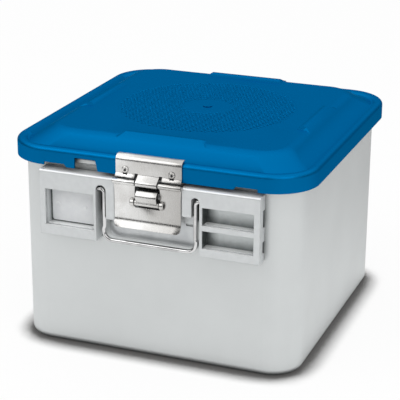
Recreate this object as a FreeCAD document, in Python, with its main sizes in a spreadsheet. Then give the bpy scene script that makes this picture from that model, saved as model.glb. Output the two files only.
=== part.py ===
import FreeCAD, Part
import math
import os

import Sketcher
from FreeCAD import Placement, Rotation, Vector

# Half-size rigid sterilization container for surgical instruments.
# Frame: millimetres, +Z up, front towards -Y, origin under the middle of the tub's floor.

doc = FreeCAD.newDocument("SterilizationContainer")
sizes = doc.addObject("Spreadsheet::Sheet", "Sizes")

DRIVING_SIZES = [
    # The drawn tub
    ("tub_width", 280, "outside of the tub, left to right"),
    ("tub_depth", 285, "outside of the tub, front to rear"),
    ("tub_corner", 30.5, "radius of the tub's upright corners"),
    ("tub_wall", 2, "thickness of the tub's walls"),
    ("tub_floor", 2.5, "thickness of the tub's floor"),
    ("base_round", 7, "radius between the walls and the floor"),
    ("rim_top", 194.5, "height of the tub's rim"),
    ("bead_height", 5.5, "height of the bead rolled round the rim"),
    ("bead_reach", 5, "reach of the bead past the wall"),
    ("bead_round", 1.6, "rounding of the bead's outer edges"),
    # The lid
    ("lid_overhang", 10.2, "skirt of the lid past the tub's wall"),
    ("lid_corner", 43, "radius of the skirt's upright corners"),
    ("lid_wall", 1.6, "thickness of the lid's sheet"),
    ("skirt_drop", 9.2, "skirt's lower edge below the tub's rim"),
    ("crest_rise", 8, "crest of the lid's rim above the tub's rim"),
    ("crest_round", 4.2, "rounding between the skirt and the crest"),
    ("crest_inset", 6.5, "inner edge of the crest, in from the skirt"),
    ("valley_inset", 12.5, "valley inside the crest, in from the skirt"),
    ("shoulder_inset", 32.2, "edge of the plateau, in from the skirt"),
    ("plateau_rise", 14, "plateau above the valley"),
    ("plateau_corner", 30, "radius of the plateau's corners"),
    ("plateau_round", 18, "rounding between the shoulder and the plateau"),
    ("channel_wall", 1.2, "clear of the skirt's inside to the channel under the crest"),
    ("bar_length", 96, "foot of each stacking bar"),
    ("bar_rise", 2.5, "top of the stacking bars above the plateau"),
    ("bar_slope", 10, "sloped end of each stacking bar"),
    ("bar_width", 5, "flat top of each stacking bar"),
    ("bar_run", 12, "inner slope of each stacking bar"),
    ("bar_root", 4.5, "depth that each bar reaches into the shoulder"),
    ("gasket_height", 2.4, "silicone gasket between rim and lid"),
    ("gasket_width", 5.2, "width of the gasket"),
    # Notches in the skirt
    ("seal_notch_place", 94, "middle of the two shallow notches"),
    ("seal_notch_width", 23, "width of a shallow notch"),
    ("seal_notch_depth", 3, "depth of a shallow notch"),
    ("deep_notch_left", 74, "outer end of the deep notch"),
    ("deep_notch_right", 50.5, "inner end of the deep notch"),
    ("deep_notch_depth", 10.4, "depth of the deep notch"),
    ("notch_slant", 2.4, "slant of the notches' inner ends"),
    # The vent field in the plateau, with fewer and larger holes than the real one
    ("vent_radius", 1.6, "vent holes"),
    ("vent_first_ring", 33, "innermost ring of vent holes"),
    ("vent_ring_step", 12, "between the rings of vent holes"),
    ("vent_count", 30, "vent holes in each ring"),
    # The filter set under the lid
    ("stud_radius", 3, "centre stud"),
    ("stud_head_radius", 4.4, "head of the centre stud on the lid"),
    ("stud_head_height", 0.8, "head of the centre stud on the lid"),
    ("stud_drop", 17, "stud's end below the lid's sheet"),
    ("filter_radius", 90, "paper filter disc"),
    ("filter_thickness", 0.8, "paper filter disc"),
    ("retainer_radius", 99, "filter retainer"),
    ("retainer_gauge", 1.2, "sheet of the filter retainer"),
    ("retainer_step", 2.4, "depth of the seal's channel in the retainer"),
    ("seal_width", 5, "retainer's silicone seal"),
    ("lid_gap", 0.3, "clearance between the filter set and the lid"),
    ("stud_gap", 0.4, "clearance of the retainer and the knob on the stud"),
    ("knob_radius", 13, "hub of the quarter-turn knob"),
    ("knob_height", 5, "hub of the quarter-turn knob"),
    ("knob_wing_length", 44, "wings of the knob, tip to tip"),
    ("knob_wing_width", 8, "wings of the knob"),
    ("knob_wing_height", 9, "wings of the knob"),
    # The label frames
    ("frame_top_drop", 13, "top of the label frames below the rim"),
    ("frame_height", 64, "label frames, top to bottom"),
    ("frame_depth", 13.5, "label frames, proud of the wall"),
    ("frame_outer", 109.5, "outer side of the label frames"),
    ("frame_inner", 51.5, "side of the label frames at the bail's slot"),
    ("frame_edge", 2.4, "rounding of the frames' upper front edge"),
    ("frame_web", 1, "thin back of the label frames"),
    ("left_slot_width", 10.3, "slot that the bail's left leg hangs in"),
    ("right_slot_width", 8, "slot that the bail's right leg hangs in"),
    ("slot_top_drop", 8, "head of that slot below the frame's top"),
    ("left_strip_inner", 32.6, "inner side of the left strip beside the latch"),
    ("right_strip_inner", 34.4, "inner side of the right strip beside the latch"),
    ("left_strip_height", 40.5, "strip of the left frame"),
    ("right_strip_height", 27.5, "face of the strip of the right frame"),
    ("strip_step_height", 36.5, "lower step of the right frame's strip"),
    ("strip_step_depth", 6.5, "lower step, proud of the wall"),
    ("window_margin", 2.6, "from the slot's side of a frame to its windows"),
    ("window_width", 49.6, "label windows"),
    ("tall_window_top", 18.5, "tall window's top below the frame's top"),
    ("tall_window_height", 35.7, "the left frame's window"),
    ("low_window_top", 16.4, "upper low window's top below the frame's top"),
    ("low_window_height", 17.3, "each of the right frame's windows"),
    ("mullion", 5, "bar between the right frame's windows"),
    ("label_lip", 1.6, "front lip before the label groove"),
    ("label_groove", 2.6, "label groove, front to back"),
    ("label_groove_reach", 1.4, "label groove past the window's edge"),
    ("side_relief_margin", 14.5, "uncut ends of the frames' outer side"),
    ("side_relief_depth", 5, "label entry in the outer side, from the wall"),
    ("side_relief_width", 2.4, "label entry in the outer side, inwards"),
    ("side_lug_rise", 19, "lug in the label entry, above the frame's foot"),
    ("side_lug_height", 13, "lug in the label entry"),
    # Rivets
    ("rivet_radius", 1.6, "rivet shanks"),
    ("rivet_head_radius", 3.3, "rivet heads"),
    ("rivet_head_height", 1.3, "rivet heads outside"),
    ("inner_head_height", 0.8, "rivet heads inside the tub"),
    ("rivet_gap", 0.05, "clearance round the rivet shanks"),
    ("rivet_crown", 1.8, "flat top of the domed rivet heads, radius"),
    ("left_rivet_drop", 36.8, "left frame's rivets below its top"),
    ("right_rivet_drop", 8, "right frame's hidden rivets below its top"),
    ("hidden_rivet_depth", 8, "right frame's hidden rivets, past the tub's wall"),
    ("frame_rivet_place", 82, "middle of a frame's two rivets"),
    ("frame_rivet_spacing", 28, "between a frame's two rivets"),
    ("strike_rivet_spacing", 16, "between the strike's two rivets"),
    ("strike_rivet_drop", 12, "strike's rivets below its lip"),
    # Backing plate and strike behind the latch
    ("backing_gauge", 0.8, "backing plate"),
    ("backing_width", 84, "backing plate"),
    ("backing_height", 57, "backing plate"),
    ("backing_corner", 4, "lower corners of the backing plate, and its top below the frames'"),
    ("backing_gap", 0.4, "clearance between the backing plate and the strips"),
    ("strike_gauge", 1.5, "sheet of the strike"),
    ("strike_width", 28, "strike"),
    ("strike_drop", 17, "strike's lip below the rim"),
    ("strike_height", 26, "strike"),
    ("strike_reach", 6.8, "lip of the strike, out from the backing plate"),
    # The draw latch
    ("latch_place", 1, "middle of the latch and the bail, right of the tub's middle"),
    ("sheet_gauge", 1.3, "sheet of the latch bracket"),
    ("bracket_width", 67, "latch bracket"),
    ("bracket_bevel", 2.4, "bracket's bend round the crest"),
    ("bracket_bend_drop", 7.5, "bracket's outward bend below the rim"),
    ("bracket_bend_run", 3.2, "bracket's outward bend"),
    ("tongue_width", 21, "tongue of the bracket round the hinge pin"),
    ("notch_width", 2.4, "relief notches beside the tongue"),
    ("bracket_rivet_spacing", 46, "between the bracket's two rivets"),
    ("bracket_rivet_drop", 3, "bracket's rivets below the rim"),
    ("bracket_rivet_radius", 1.5, "bracket's rivet shanks"),
    ("bracket_head_radius", 2.9, "bracket's rivet heads"),
    ("tongue_end", 1.5, "tongue's sheet meets its knuckle, above and behind the pin"),
    ("pin_standoff", 5.5, "hinge pin out from the skirt"),
    ("pin_drop", 13.5, "hinge pin below the rim"),
    ("pin_radius", 1.3, "hinge pin"),
    ("running_gap", 0.06, "clearance of pins in their knuckles"),
    ("tongue_knuckle", 2.9, "outer radius of the bracket's knuckle"),
    ("plate_knuckle", 2.5, "outer radius of the plate's knuckles"),
    ("knuckle_gap", 1.3, "gap between the knuckles along the pin"),
    ("plate_gauge", 1.2, "sheet of the latch plate"),
    ("plate_width", 65, "latch plate"),
    ("plate_ear_width", 68.5, "over the plate's two knuckles"),
    ("plate_fold_drop", 38.5, "plate's lower fold below the hinge pin"),
    ("lip_drop", 6, "finger lip, down from the fold"),
    ("lip_reach", 4, "finger lip, out from the plate"),
    ("plate_corner", 7, "plate's lower corners"),
    ("window_gap", 0.35, "plate's window beside the claw's barrel"),
    ("claw_pin_drop", 19, "claw pin below the hinge pin"),
    ("claw_pin_setback", 1, "claw pin behind the hinge pin"),
    ("claw_pin_radius", 1.4, "claw pin"),
    ("claw_width", 24.2, "barrel of the claw"),
    ("claw_barrel", 2.7, "outer radius of the claw's barrel"),
    ("claw_ear_radius", 3.7, "plate's ears for the claw pin"),
    ("claw_ear_width", 4, "plate's ears for the claw pin"),
    ("claw_gauge", 1.4, "sheet of the claw"),
    ("claw_rise", 11.6, "tip of the claw above its pin"),
    ("claw_crown_reach", 5.4, "claw's crown, in front of its tip"),
    ("claw_crown_drop", 1.2, "claw's crown, below its tip"),
    ("claw_face_rise", 6.8, "top of the claw's face above its pin"),
    ("claw_face_reach", 4, "top of the claw's face, in front of its pin"),
    ("claw_foot_reach", 0.8, "foot of the claw's face, in front of its pin"),
    ("claw_side_gap", 1.8, "claw's sheet in from the ends of its barrel"),
    ("press_gap", 0.001, "clearance of the pressed claw pin"),
    ("catch_gap", 0.5, "claw's tip clear of the strike's lip"),
    # The bail
    ("wire_radius", 2, "wire of the bail"),
    ("bail_standoff", 9.5, "bail's pivot out from the wall"),
    ("bail_pivot_drop", 12.5, "bail's pivot below the frame's top"),
    ("bail_leg", 45.4, "bail's legs from its middle"),
    ("bail_kink", 1, "outward kink low in each leg"),
    ("bail_kink_rise", 13, "kink above the bail's bar"),
    ("bail_length", 50, "pivot to the bail's bar"),
    ("bail_bend", 9, "bends of the bail's lower corners"),
    ("bail_top_bend", 4.2, "bends at the bail's pivots"),
    ("trunnion_reach", 5.5, "bail's ends in the frames' holes"),
    ("trunnion_gap", 0.08, "clearance of the bail in its holes"),
    # The plain rear bail brackets
    ("rear_bracket_outer", 64, "outer side of the rear bail brackets"),
    ("rear_bracket_height", 40.5, "rear bail brackets"),
    ("rear_rivet_inset", 5, "rear bracket's rivets in from its outer side"),
    ("rear_rivet_spacing", 16, "between a rear bracket's rivets"),
]
for row, (alias, value, meaning) in enumerate(DRIVING_SIZES, start=1):
    sizes.set(f"A{row}", meaning)
    sizes.set(f"B{row}", str(value))
    sizes.setAlias(f"B{row}", alias)
doc.recompute()

# Places that several pieces share, as expressions on the sheet
WALL = "(Sizes.tub_depth / 2)"
LID_X = "(Sizes.tub_width / 2 + Sizes.lid_overhang)"
LID_Y = "(Sizes.tub_depth / 2 + Sizes.lid_overhang)"
SKIRT_FOOT = "(Sizes.rim_top - Sizes.skirt_drop)"
CREST = "(Sizes.rim_top + Sizes.crest_rise)"
VALLEY = "(Sizes.rim_top + Sizes.gasket_height + Sizes.lid_wall)"
SEAT = "(Sizes.rim_top + Sizes.gasket_height)"
PLATEAU = f"({VALLEY} + Sizes.plateau_rise)"
UNDER_PLATEAU = f"({PLATEAU} - Sizes.lid_wall)"
FRAME_TOP = "(Sizes.rim_top - Sizes.frame_top_drop)"
FRAME_FOOT = f"({FRAME_TOP} - Sizes.frame_height)"
BAIL_PIVOT = f"({FRAME_TOP} - Sizes.bail_pivot_drop)"
BACKING_FACE = f"({WALL} + Sizes.backing_gauge)"
STRIKE_TOP = "(Sizes.rim_top - Sizes.strike_drop)"
STRIKE_EDGE = f"({BACKING_FACE} + Sizes.strike_reach)"
HINGE_Y = f"({LID_Y} + Sizes.pin_standoff)"
HINGE_Z = "(Sizes.rim_top - Sizes.pin_drop)"
PLATE_BACK = f"({HINGE_Y} - Sizes.plate_knuckle)"
CLAW_Y = f"({HINGE_Y} - Sizes.claw_pin_setback)"
CLAW_Z = f"({HINGE_Z} - Sizes.claw_pin_drop)"
BRACKET_BEND = "(Sizes.rim_top - Sizes.bracket_bend_drop)"
WINDOW_INNER = "(Sizes.frame_inner + Sizes.window_margin)"
WINDOW_OUTER = f"({WINDOW_INNER} + Sizes.window_width)"

LEFT, RIGHT = -1, 1
STRIP_INNER = {LEFT: "Sizes.left_strip_inner", RIGHT: "Sizes.right_strip_inner"}
SLOT_WIDTH = {LEFT: "Sizes.left_slot_width", RIGHT: "Sizes.right_slot_width"}


def number(expression):
    """The value that an expression on the sheet has now."""
    return float(sizes.evalExpression(str(expression)))


def signed(sign, expression):
    return f"({sign} * ({expression}))"


# Sketches


def place_sketch(body, name, plane_role, offset):
    """A sketch of this body, parallel to one of its origin planes and offset along its normal."""
    sketch = body.newObject("Sketcher::SketchObject", name)
    plane = next(item for item in body.Origin.OriginFeatures if item.Role == plane_role)
    sketch.AttachmentSupport = [(plane, "")]
    sketch.MapMode = "FlatFace"
    sketch.setExpression("AttachmentOffset.Base.z", str(offset))
    return sketch


def bind(sketch, kind, *where_and_expression):
    *where, expression = where_and_expression
    index = sketch.addConstraint(Sketcher.Constraint(kind, *where, number(expression)))
    sketch.setExpression(f"Constraints[{index}]", str(expression))


def pin_point(sketch, geometry, end, point):
    """Fixes one end of a line or arc at a point that is given by two expressions."""
    bind(sketch, "DistanceX", geometry, end, point[0])
    bind(sketch, "DistanceY", geometry, end, point[1])


def outline(sketch, points):
    """A closed outline of straight edges through points given as pairs of expressions."""
    first = len(sketch.Geometry)
    places = [Vector(number(across), number(up), 0) for across, up in points]
    for start, end in zip(places, places[1:] + places[:1]):
        sketch.addGeometry(Part.LineSegment(start, end), False)
    count = len(points)
    for step in range(count):
        following = first + (step + 1) % count
        sketch.addConstraint(Sketcher.Constraint("Coincident", first + step, 2, following, 1))
        pin_point(sketch, first + step, 1, points[step])


def rectangle(sketch, left, right, foot, top):
    outline(sketch, [(left, foot), (right, foot), (right, top), (left, top)])


def rounded_rectangle(sketch, half_width, half_depth, radius):
    """A rectangle about the origin with round corners: four lines and four tangent arcs."""
    first = len(sketch.Geometry)
    wide, deep, corner = number(half_width), number(half_depth), number(radius)
    flat_x, flat_y = wide - corner, deep - corner
    sides = [
        (Vector(-flat_x, -deep, 0), Vector(flat_x, -deep, 0)),
        (Vector(wide, -flat_y, 0), Vector(wide, flat_y, 0)),
        (Vector(flat_x, deep, 0), Vector(-flat_x, deep, 0)),
        (Vector(-wide, flat_y, 0), Vector(-wide, -flat_y, 0)),
    ]
    middles = [(flat_x, -flat_y), (flat_x, flat_y), (-flat_x, flat_y), (-flat_x, -flat_y)]
    for turn, (side, middle) in enumerate(zip(sides, middles)):
        sketch.addGeometry(Part.LineSegment(*side), False)
        circle = Part.Circle(Vector(*middle, 0), Vector(0, 0, 1), corner)
        start = math.radians(90 * turn - 90)
        sketch.addGeometry(Part.ArcOfCircle(circle, start, start + math.pi / 2), False)
    for turn in range(4):
        line, arc = first + 2 * turn, first + 2 * turn + 1
        following = first + (2 * turn + 2) % 8
        sketch.addConstraint(Sketcher.Constraint("Tangent", line, 2, arc, 1))
        sketch.addConstraint(Sketcher.Constraint("Tangent", arc, 2, following, 1))
        sketch.addConstraint(Sketcher.Constraint("Vertical" if turn % 2 else "Horizontal", line))
        if turn:
            sketch.addConstraint(Sketcher.Constraint("Equal", first + 1, arc))
    bind(sketch, "Radius", first + 1, radius)
    bind(sketch, "DistanceY", first, 1, signed(-1, half_depth))
    bind(sketch, "DistanceX", first + 2, 1, half_width)
    bind(sketch, "DistanceY", first + 4, 1, half_depth)
    bind(sketch, "DistanceX", first + 6, 1, signed(-1, half_width))


def circle(sketch, across, up, radius):
    place = Vector(number(across), number(up), 0)
    index = sketch.addGeometry(Part.Circle(place, Vector(0, 0, 1), number(radius)), False)
    pin_point(sketch, index, 3, (across, up))
    bind(sketch, "Radius", index, radius)


# PartDesign features


def new_body(label):
    body = doc.addObject("PartDesign::Body", label)
    body.Label = label
    return body


def pad(body, sketch, length, reverse=False):
    feature = body.newObject("PartDesign::Pad", sketch.Name + "_pad")
    feature.Profile = sketch
    feature.setExpression("Length", str(length))
    feature.Reversed = reverse
    doc.recompute()
    return feature


def pocket(body, sketch, length, reverse=False):
    """Cuts against the sketch's normal, or along it where reverse is true."""
    before = body.Shape.Volume
    feature = body.newObject("PartDesign::Pocket", sketch.Name + "_pocket")
    feature.Profile = sketch
    feature.setExpression("Length", str(length))
    feature.Reversed = reverse
    doc.recompute()
    if not body.Shape.Volume < before:
        raise ValueError(f"{sketch.Name} cuts nothing")
    return feature


def loft(body, kind, lower, upper):
    feature = body.newObject(f"PartDesign::{kind}Loft", lower.Name + "_loft")
    feature.Profile = lower
    feature.Sections = [upper]
    feature.Ruled = True
    doc.recompute()
    return feature


def fillet(body, base, radius, wanted):
    """Rounds the edges of base whose middle passes the test wanted."""
    names = []
    for index, edge in enumerate(base.Shape.Edges, start=1):
        middle = edge.valueAt((edge.FirstParameter + edge.LastParameter) / 2)
        if wanted(edge, middle):
            names.append(f"Edge{index}")
    feature = body.newObject("PartDesign::Fillet", base.Name + "_fillet")
    feature.Base = (base, names)
    feature.setExpression("Radius", str(radius))
    doc.recompute()
    return feature


def close(first, second, tolerance=0.01):
    return abs(first - second) < tolerance


# Part primitives and booleans


def place_at(item, place, rotation=None):
    for axis, expression in zip("xyz", place):
        item.setExpression(f"Placement.Base.{axis}", str(expression))
    if rotation:
        item.Placement = Placement(item.Placement.Base, rotation)


def box(name, low, size):
    item = doc.addObject("Part::Box", name)
    for side, expression in zip(("Length", "Width", "Height"), size):
        item.setExpression(side, str(expression))
    place_at(item, low)
    return item


def cylinder(name, radius, height, start, axis="z"):
    """A cylinder that runs from start along +X, +Y or +Z."""
    turns = {
        "x": Rotation(Vector(0, 1, 0), 90),
        "y": Rotation(Vector(1, 0, 0), -90),
        "z": Rotation(),
    }
    item = doc.addObject("Part::Cylinder", name)
    item.setExpression("Radius", str(radius))
    item.setExpression("Height", str(height))
    item.Placement = Placement(Vector(0, 0, 0), turns[axis])
    place_at(item, start)
    return item


def centred_bar(name, radius, width, y, z):
    """A cylinder along X, centred on the middle of the latch."""
    return cylinder(name, radius, width, (f"Sizes.latch_place - ({width}) / 2", y, z), "x")


def fuse(name, *items):
    item = doc.addObject("Part::MultiFuse", name)
    item.Shapes = list(items)
    item.Refine = True
    return item


def cut(name, base, *tools):
    """Takes the tools away from base, one after another."""
    for count, tool in enumerate(tools, start=1):
        step = doc.addObject("Part::Cut", f"{name}_step{count}" if count < len(tools) else name)
        step.Base, step.Tool = base, tool
        step.Refine = True
        base = step
    return base


def folded_sheet(name, path, gauge, width):
    """Sheet of the latch, bent along a path in the YZ plane, with its gauge outside the path."""
    sketch = doc.addObject("Sketcher::SketchObject", name + "_path")
    sketch.Placement = Placement(Vector(0, 0, 0), Rotation(Vector(1, 1, 1), 120))
    places = [Vector(number(y), number(z), 0) for y, z in path]
    for start, end in zip(places, places[1:]):
        sketch.addGeometry(Part.LineSegment(start, end), False)
    for step, point in enumerate(path[:-1]):
        pin_point(sketch, step, 1, point)
        if step:
            sketch.addConstraint(Sketcher.Constraint("Coincident", step - 1, 2, step, 1))
    pin_point(sketch, len(path) - 2, 2, path[-1])
    section = doc.addObject("Part::Offset2D", name + "_section")
    section.Source = sketch
    section.Mode = "Skin"
    section.Fill = True
    section.setExpression("Value", gauge)
    sheet = doc.addObject("Part::Extrusion", name)
    sheet.Base = section
    sheet.DirMode = "Custom"
    sheet.Dir = Vector(1, 0, 0)
    sheet.Solid = True
    sheet.setExpression("LengthFwd", f"({width}) / 2 + Sizes.latch_place")
    sheet.setExpression("LengthRev", f"({width}) / 2 - Sizes.latch_place")
    return sheet


pieces = []


def finish_piece(item, label):
    """Registers a finished sub-part under the name of its node."""
    item.Label = label
    pieces.append(item)
    return item


def mirrored_piece(source, label):
    """The same piece at the rear."""
    item = doc.addObject("Part::Mirroring", label)
    item.Source = source
    item.Normal = Vector(0, 1, 0)
    item.Base = Vector(0, 0, 0)
    return finish_piece(item, label)


def rivets(label, places, outer_face, outer_radius, shank_radius, grip, hidden=False):
    """Rivets along Y through the front: domed head outside, shank, flat head inside."""
    solids = []
    for count, (x, z) in enumerate(places, start=1):
        name = f"{label}_{count}"
        face = signed(-1, outer_face)
        parts = [
            cylinder(name + "_shank", shank_radius, grip, (x, face, z), "y"),
            cylinder(name + "_inner", outer_radius, "Sizes.inner_head_height",
                     (x, f"{face} + {grip}", z), "y"),
        ]
        if not hidden:
            head = doc.addObject("Part::Cone", name + "_head")
            head.Placement = Placement(Vector(0, 0, 0), Rotation(Vector(1, 0, 0), 90))
            head.setExpression("Radius1", outer_radius)
            head.setExpression("Radius2", "Sizes.rivet_crown")
            head.setExpression("Height", "Sizes.rivet_head_height")
            place_at(head, (x, face, z))
            parts.append(head)
        solids.append(fuse(name, *parts))
    group = doc.addObject("Part::Compound", label)
    group.Links = solids
    return group


# Rivet places, used for the rivets and for the holes that they pass through
FRAME_RIVETS_X = [
    "(Sizes.frame_rivet_place - Sizes.frame_rivet_spacing / 2)",
    "(Sizes.frame_rivet_place + Sizes.frame_rivet_spacing / 2)",
]
LEFT_RIVETS = [
    (signed(-1, x), f"({FRAME_TOP} - Sizes.left_rivet_drop)") for x in FRAME_RIVETS_X
]
RIGHT_RIVETS = [(x, f"({FRAME_TOP} - Sizes.right_rivet_drop)") for x in FRAME_RIVETS_X]
STRIKE_RIVETS = [
    (f"(Sizes.latch_place + {side} * Sizes.strike_rivet_spacing / 2)",
     f"({STRIKE_TOP} - Sizes.strike_rivet_drop)")
    for side in (LEFT, RIGHT)
]
REAR_RIVET_X = "(Sizes.rear_bracket_outer - Sizes.rear_rivet_inset)"
REAR_RIVET_Z = [
    f"({FRAME_TOP} - Sizes.rear_bracket_height / 2 {sign} Sizes.rear_rivet_spacing / 2)"
    for sign in "+-"
]
LATCH_RIVETS = [
    (f"(Sizes.latch_place + {side} * Sizes.bracket_rivet_spacing / 2)",
     "(Sizes.rim_top - Sizes.bracket_rivet_drop)")
    for side in (LEFT, RIGHT)
]
RIVET_HOLE = "(Sizes.rivet_radius + Sizes.rivet_gap)"


def make_tub():
    """Tub drawn from one sheet: round corners, a round foot and an outward bead at the rim."""
    tub = new_body("container_tub")
    half_x, half_y = "Sizes.tub_width / 2", "Sizes.tub_depth / 2"

    outside = place_sketch(tub, "tub_outside", "XY_Plane", 0)
    rounded_rectangle(outside, half_x, half_y, "Sizes.tub_corner")
    block = pad(tub, outside, "Sizes.rim_top")
    base = fillet(tub, block, "Sizes.base_round", lambda edge, middle: close(middle.z, 0))

    inside = place_sketch(tub, "tub_inside", "XY_Plane", "Sizes.rim_top")
    rounded_rectangle(
        inside,
        f"{half_x} - Sizes.tub_wall",
        f"{half_y} - Sizes.tub_wall",
        "Sizes.tub_corner - Sizes.tub_wall",
    )
    hollow = pocket(tub, inside, "Sizes.rim_top - Sizes.tub_floor")
    floor = number("Sizes.tub_floor")
    fillet(
        tub,
        hollow,
        "Sizes.base_round - Sizes.tub_wall",
        lambda edge, middle: close(middle.z, floor),
    )

    ring = place_sketch(tub, "tub_bead", "XY_Plane", "Sizes.rim_top - Sizes.bead_height")
    rounded_rectangle(
        ring,
        f"{half_x} + Sizes.bead_reach",
        f"{half_y} + Sizes.bead_reach",
        "Sizes.tub_corner + Sizes.bead_reach",
    )
    rounded_rectangle(
        ring,
        f"{half_x} - Sizes.tub_wall",
        f"{half_y} - Sizes.tub_wall",
        "Sizes.tub_corner - Sizes.tub_wall",
    )
    bead = pad(tub, ring, "Sizes.bead_height")
    reach_x = number(half_x) + number("Sizes.bead_reach")
    corner = number("Sizes.tub_corner") + number("Sizes.bead_reach")
    reach_y = number(half_y) + number("Sizes.bead_reach")

    def on_bead(edge, middle):
        """Edges whose points all lie on the bead's outer face, at its top or bottom."""
        if edge.BoundBox.ZLength > 0.01:
            return False
        off_x = max(abs(middle.x) - (reach_x - corner), 0)
        off_y = max(abs(middle.y) - (reach_y - corner), 0)
        return close(math.hypot(off_x, off_y), corner, 0.05)

    fillet(tub, bead, "Sizes.bead_round", on_bead)

    front = place_sketch(tub, "tub_front_rivet_holes", "XZ_Plane", 0)
    for x, z in LEFT_RIVETS + RIGHT_RIVETS + STRIKE_RIVETS:
        circle(front, x, z, RIVET_HOLE)
    pocket(tub, front, "Sizes.tub_depth", reverse=True)
    rear = place_sketch(tub, "tub_rear_rivet_holes", "XZ_Plane", 0)
    for x, z in STRIKE_RIVETS:
        circle(rear, x, z, RIVET_HOLE)
    for side in (LEFT, RIGHT):
        for z in REAR_RIVET_Z:
            circle(rear, signed(side, REAR_RIVET_X), z, RIVET_HOLE)
    pocket(tub, rear, "Sizes.tub_depth")
    return finish_piece(tub, "container_tub")


VENT_RINGS = 5


def lid_ring(body, name, height, inset, radius):
    """A rounded rectangle at some height of the lid, parallel to the skirt and inset from it."""
    sketch = place_sketch(body, name, "XY_Plane", height)
    rounded_rectangle(sketch, f"{LID_X} - ({inset})", f"{LID_Y} - ({inset})", radius)
    return sketch


def make_lid():
    """Lid drawn from sheet: skirt, round crest, valley, sloped shoulder, plateau, four bars."""
    lid = new_body("lid_pan")
    corner = "Sizes.lid_corner"
    skirt = lid_ring(lid, "lid_skirt", SKIRT_FOOT, 0, corner)
    block = pad(lid, skirt, f"{CREST} - {SKIRT_FOOT}")
    crest_z = number(CREST)
    fillet(lid, block, "Sizes.crest_round", lambda edge, middle: close(middle.z, crest_z))

    valley_corner = f"{corner} - Sizes.valley_inset"
    mouth = lid_ring(
        lid, "lid_crest_inner", CREST, "Sizes.crest_inset", f"{corner} - Sizes.crest_inset"
    )
    valley = lid_ring(lid, "lid_valley", VALLEY, "Sizes.valley_inset", valley_corner)
    loft(lid, "Subtractive", mouth, valley)

    foot = lid_ring(lid, "lid_shoulder_foot", VALLEY, "Sizes.valley_inset", valley_corner)
    edge = lid_ring(
        lid, "lid_plateau_edge", PLATEAU, "Sizes.shoulder_inset", "Sizes.plateau_corner"
    )
    shoulder = loft(lid, "Additive", foot, edge)
    plateau_z = number(PLATEAU)
    fillet(lid, shoulder, "Sizes.plateau_round", lambda edge, middle: close(middle.z, plateau_z))

    for name, turned in (("lid_bars_across", False), ("lid_bars_along", True)):
        for side in (-1, 1):
            add_bar(lid, f"{name}_{'low' if side < 0 else 'high'}", side, turned)

    # The sheet's inside: under the valley, under the shoulder, and the channel in the crest
    under = lid_ring(
        lid, "lid_underside", SKIRT_FOOT, "Sizes.lid_wall", f"{corner} - Sizes.lid_wall"
    )
    pocket(lid, under, f"{SEAT} - {SKIRT_FOOT}", reverse=True)
    inner_foot = lid_ring(
        lid,
        "lid_inner_foot",
        SEAT,
        "Sizes.valley_inset + 2 * Sizes.lid_wall + Sizes.gasket_width / 2",
        f"{corner} - Sizes.valley_inset",
    )
    inner_edge = lid_ring(
        lid,
        "lid_inner_edge",
        UNDER_PLATEAU,
        "Sizes.shoulder_inset + Sizes.lid_wall",
        "Sizes.plateau_corner - Sizes.lid_wall",
    )
    dish = loft(lid, "Subtractive", inner_foot, inner_edge)
    under_z = number(UNDER_PLATEAU)
    fillet(lid, dish, "Sizes.plateau_round - Sizes.lid_wall",
           lambda edge, middle: close(middle.z, under_z))
    channel = lid_ring(
        lid,
        "lid_channel",
        SEAT,
        "Sizes.lid_wall + Sizes.channel_wall",
        f"{corner} - Sizes.lid_wall - Sizes.channel_wall",
    )
    inner_side = "(Sizes.crest_inset + Sizes.lid_wall)"
    rounded_rectangle(
        channel, f"{LID_X} - {inner_side}", f"{LID_Y} - {inner_side}", f"{corner} - {inner_side}"
    )
    pocket(lid, channel, f"{CREST} - Sizes.lid_wall - {SEAT}", reverse=True)

    # Notches for the tamper seals and for the bail's side, in the front skirt only
    notches = place_sketch(lid, "lid_notches", "XZ_Plane", 0)
    below = f"({SKIRT_FOOT} - Sizes.skirt_drop)"
    low_top = f"({SKIRT_FOOT} + Sizes.seal_notch_depth)"
    half = "Sizes.seal_notch_width / 2"
    for side in (LEFT, RIGHT):
        outer = signed(side, f"(Sizes.seal_notch_place + {half})")
        inner = signed(side, f"(Sizes.seal_notch_place - {half})")
        slanted = signed(side, f"(Sizes.seal_notch_place - {half} + Sizes.notch_slant)")
        outline(notches, [(outer, below), (inner, below), (inner, SKIRT_FOOT), (slanted, low_top),
                          (outer, low_top)])
    high_top = f"({SKIRT_FOOT} + Sizes.deep_notch_depth)"
    slanted = "(-Sizes.deep_notch_right - Sizes.notch_slant)"
    outline(notches, [("-Sizes.deep_notch_left", below), ("-Sizes.deep_notch_right", below),
                      ("-Sizes.deep_notch_right", SKIRT_FOOT), (slanted, high_top),
                      ("-Sizes.deep_notch_left", high_top)])
    pocket(lid, notches, "Sizes.tub_depth", reverse=True)

    hole = place_sketch(lid, "lid_stud_hole", "XY_Plane", UNDER_PLATEAU)
    circle(hole, "0", "0", "Sizes.stud_radius + Sizes.rivet_gap")
    pocket(lid, hole, "2 * Sizes.lid_wall", reverse=True)

    vents = place_sketch(lid, "lid_vents", "XY_Plane", UNDER_PLATEAU)
    for ring in range(VENT_RINGS):
        radius = f"(Sizes.vent_first_ring + {ring} * Sizes.vent_ring_step)"
        turn = f"({ring} % 2 * 180 / Sizes.vent_count)"
        circle(vents, f"{radius} * cos({turn})", f"{radius} * sin({turn})", "Sizes.vent_radius")
    first = pocket(lid, vents, "2 * Sizes.lid_wall", reverse=True)
    field = lid.newObject("PartDesign::PolarPattern", "lid_vent_field")
    field.Originals = [first]
    field.Axis = (vents, ["N_Axis"])
    field.Angle = 360
    field.setExpression("Occurrences", "Sizes.vent_count")
    lid.Tip = field
    doc.recompute()

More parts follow.
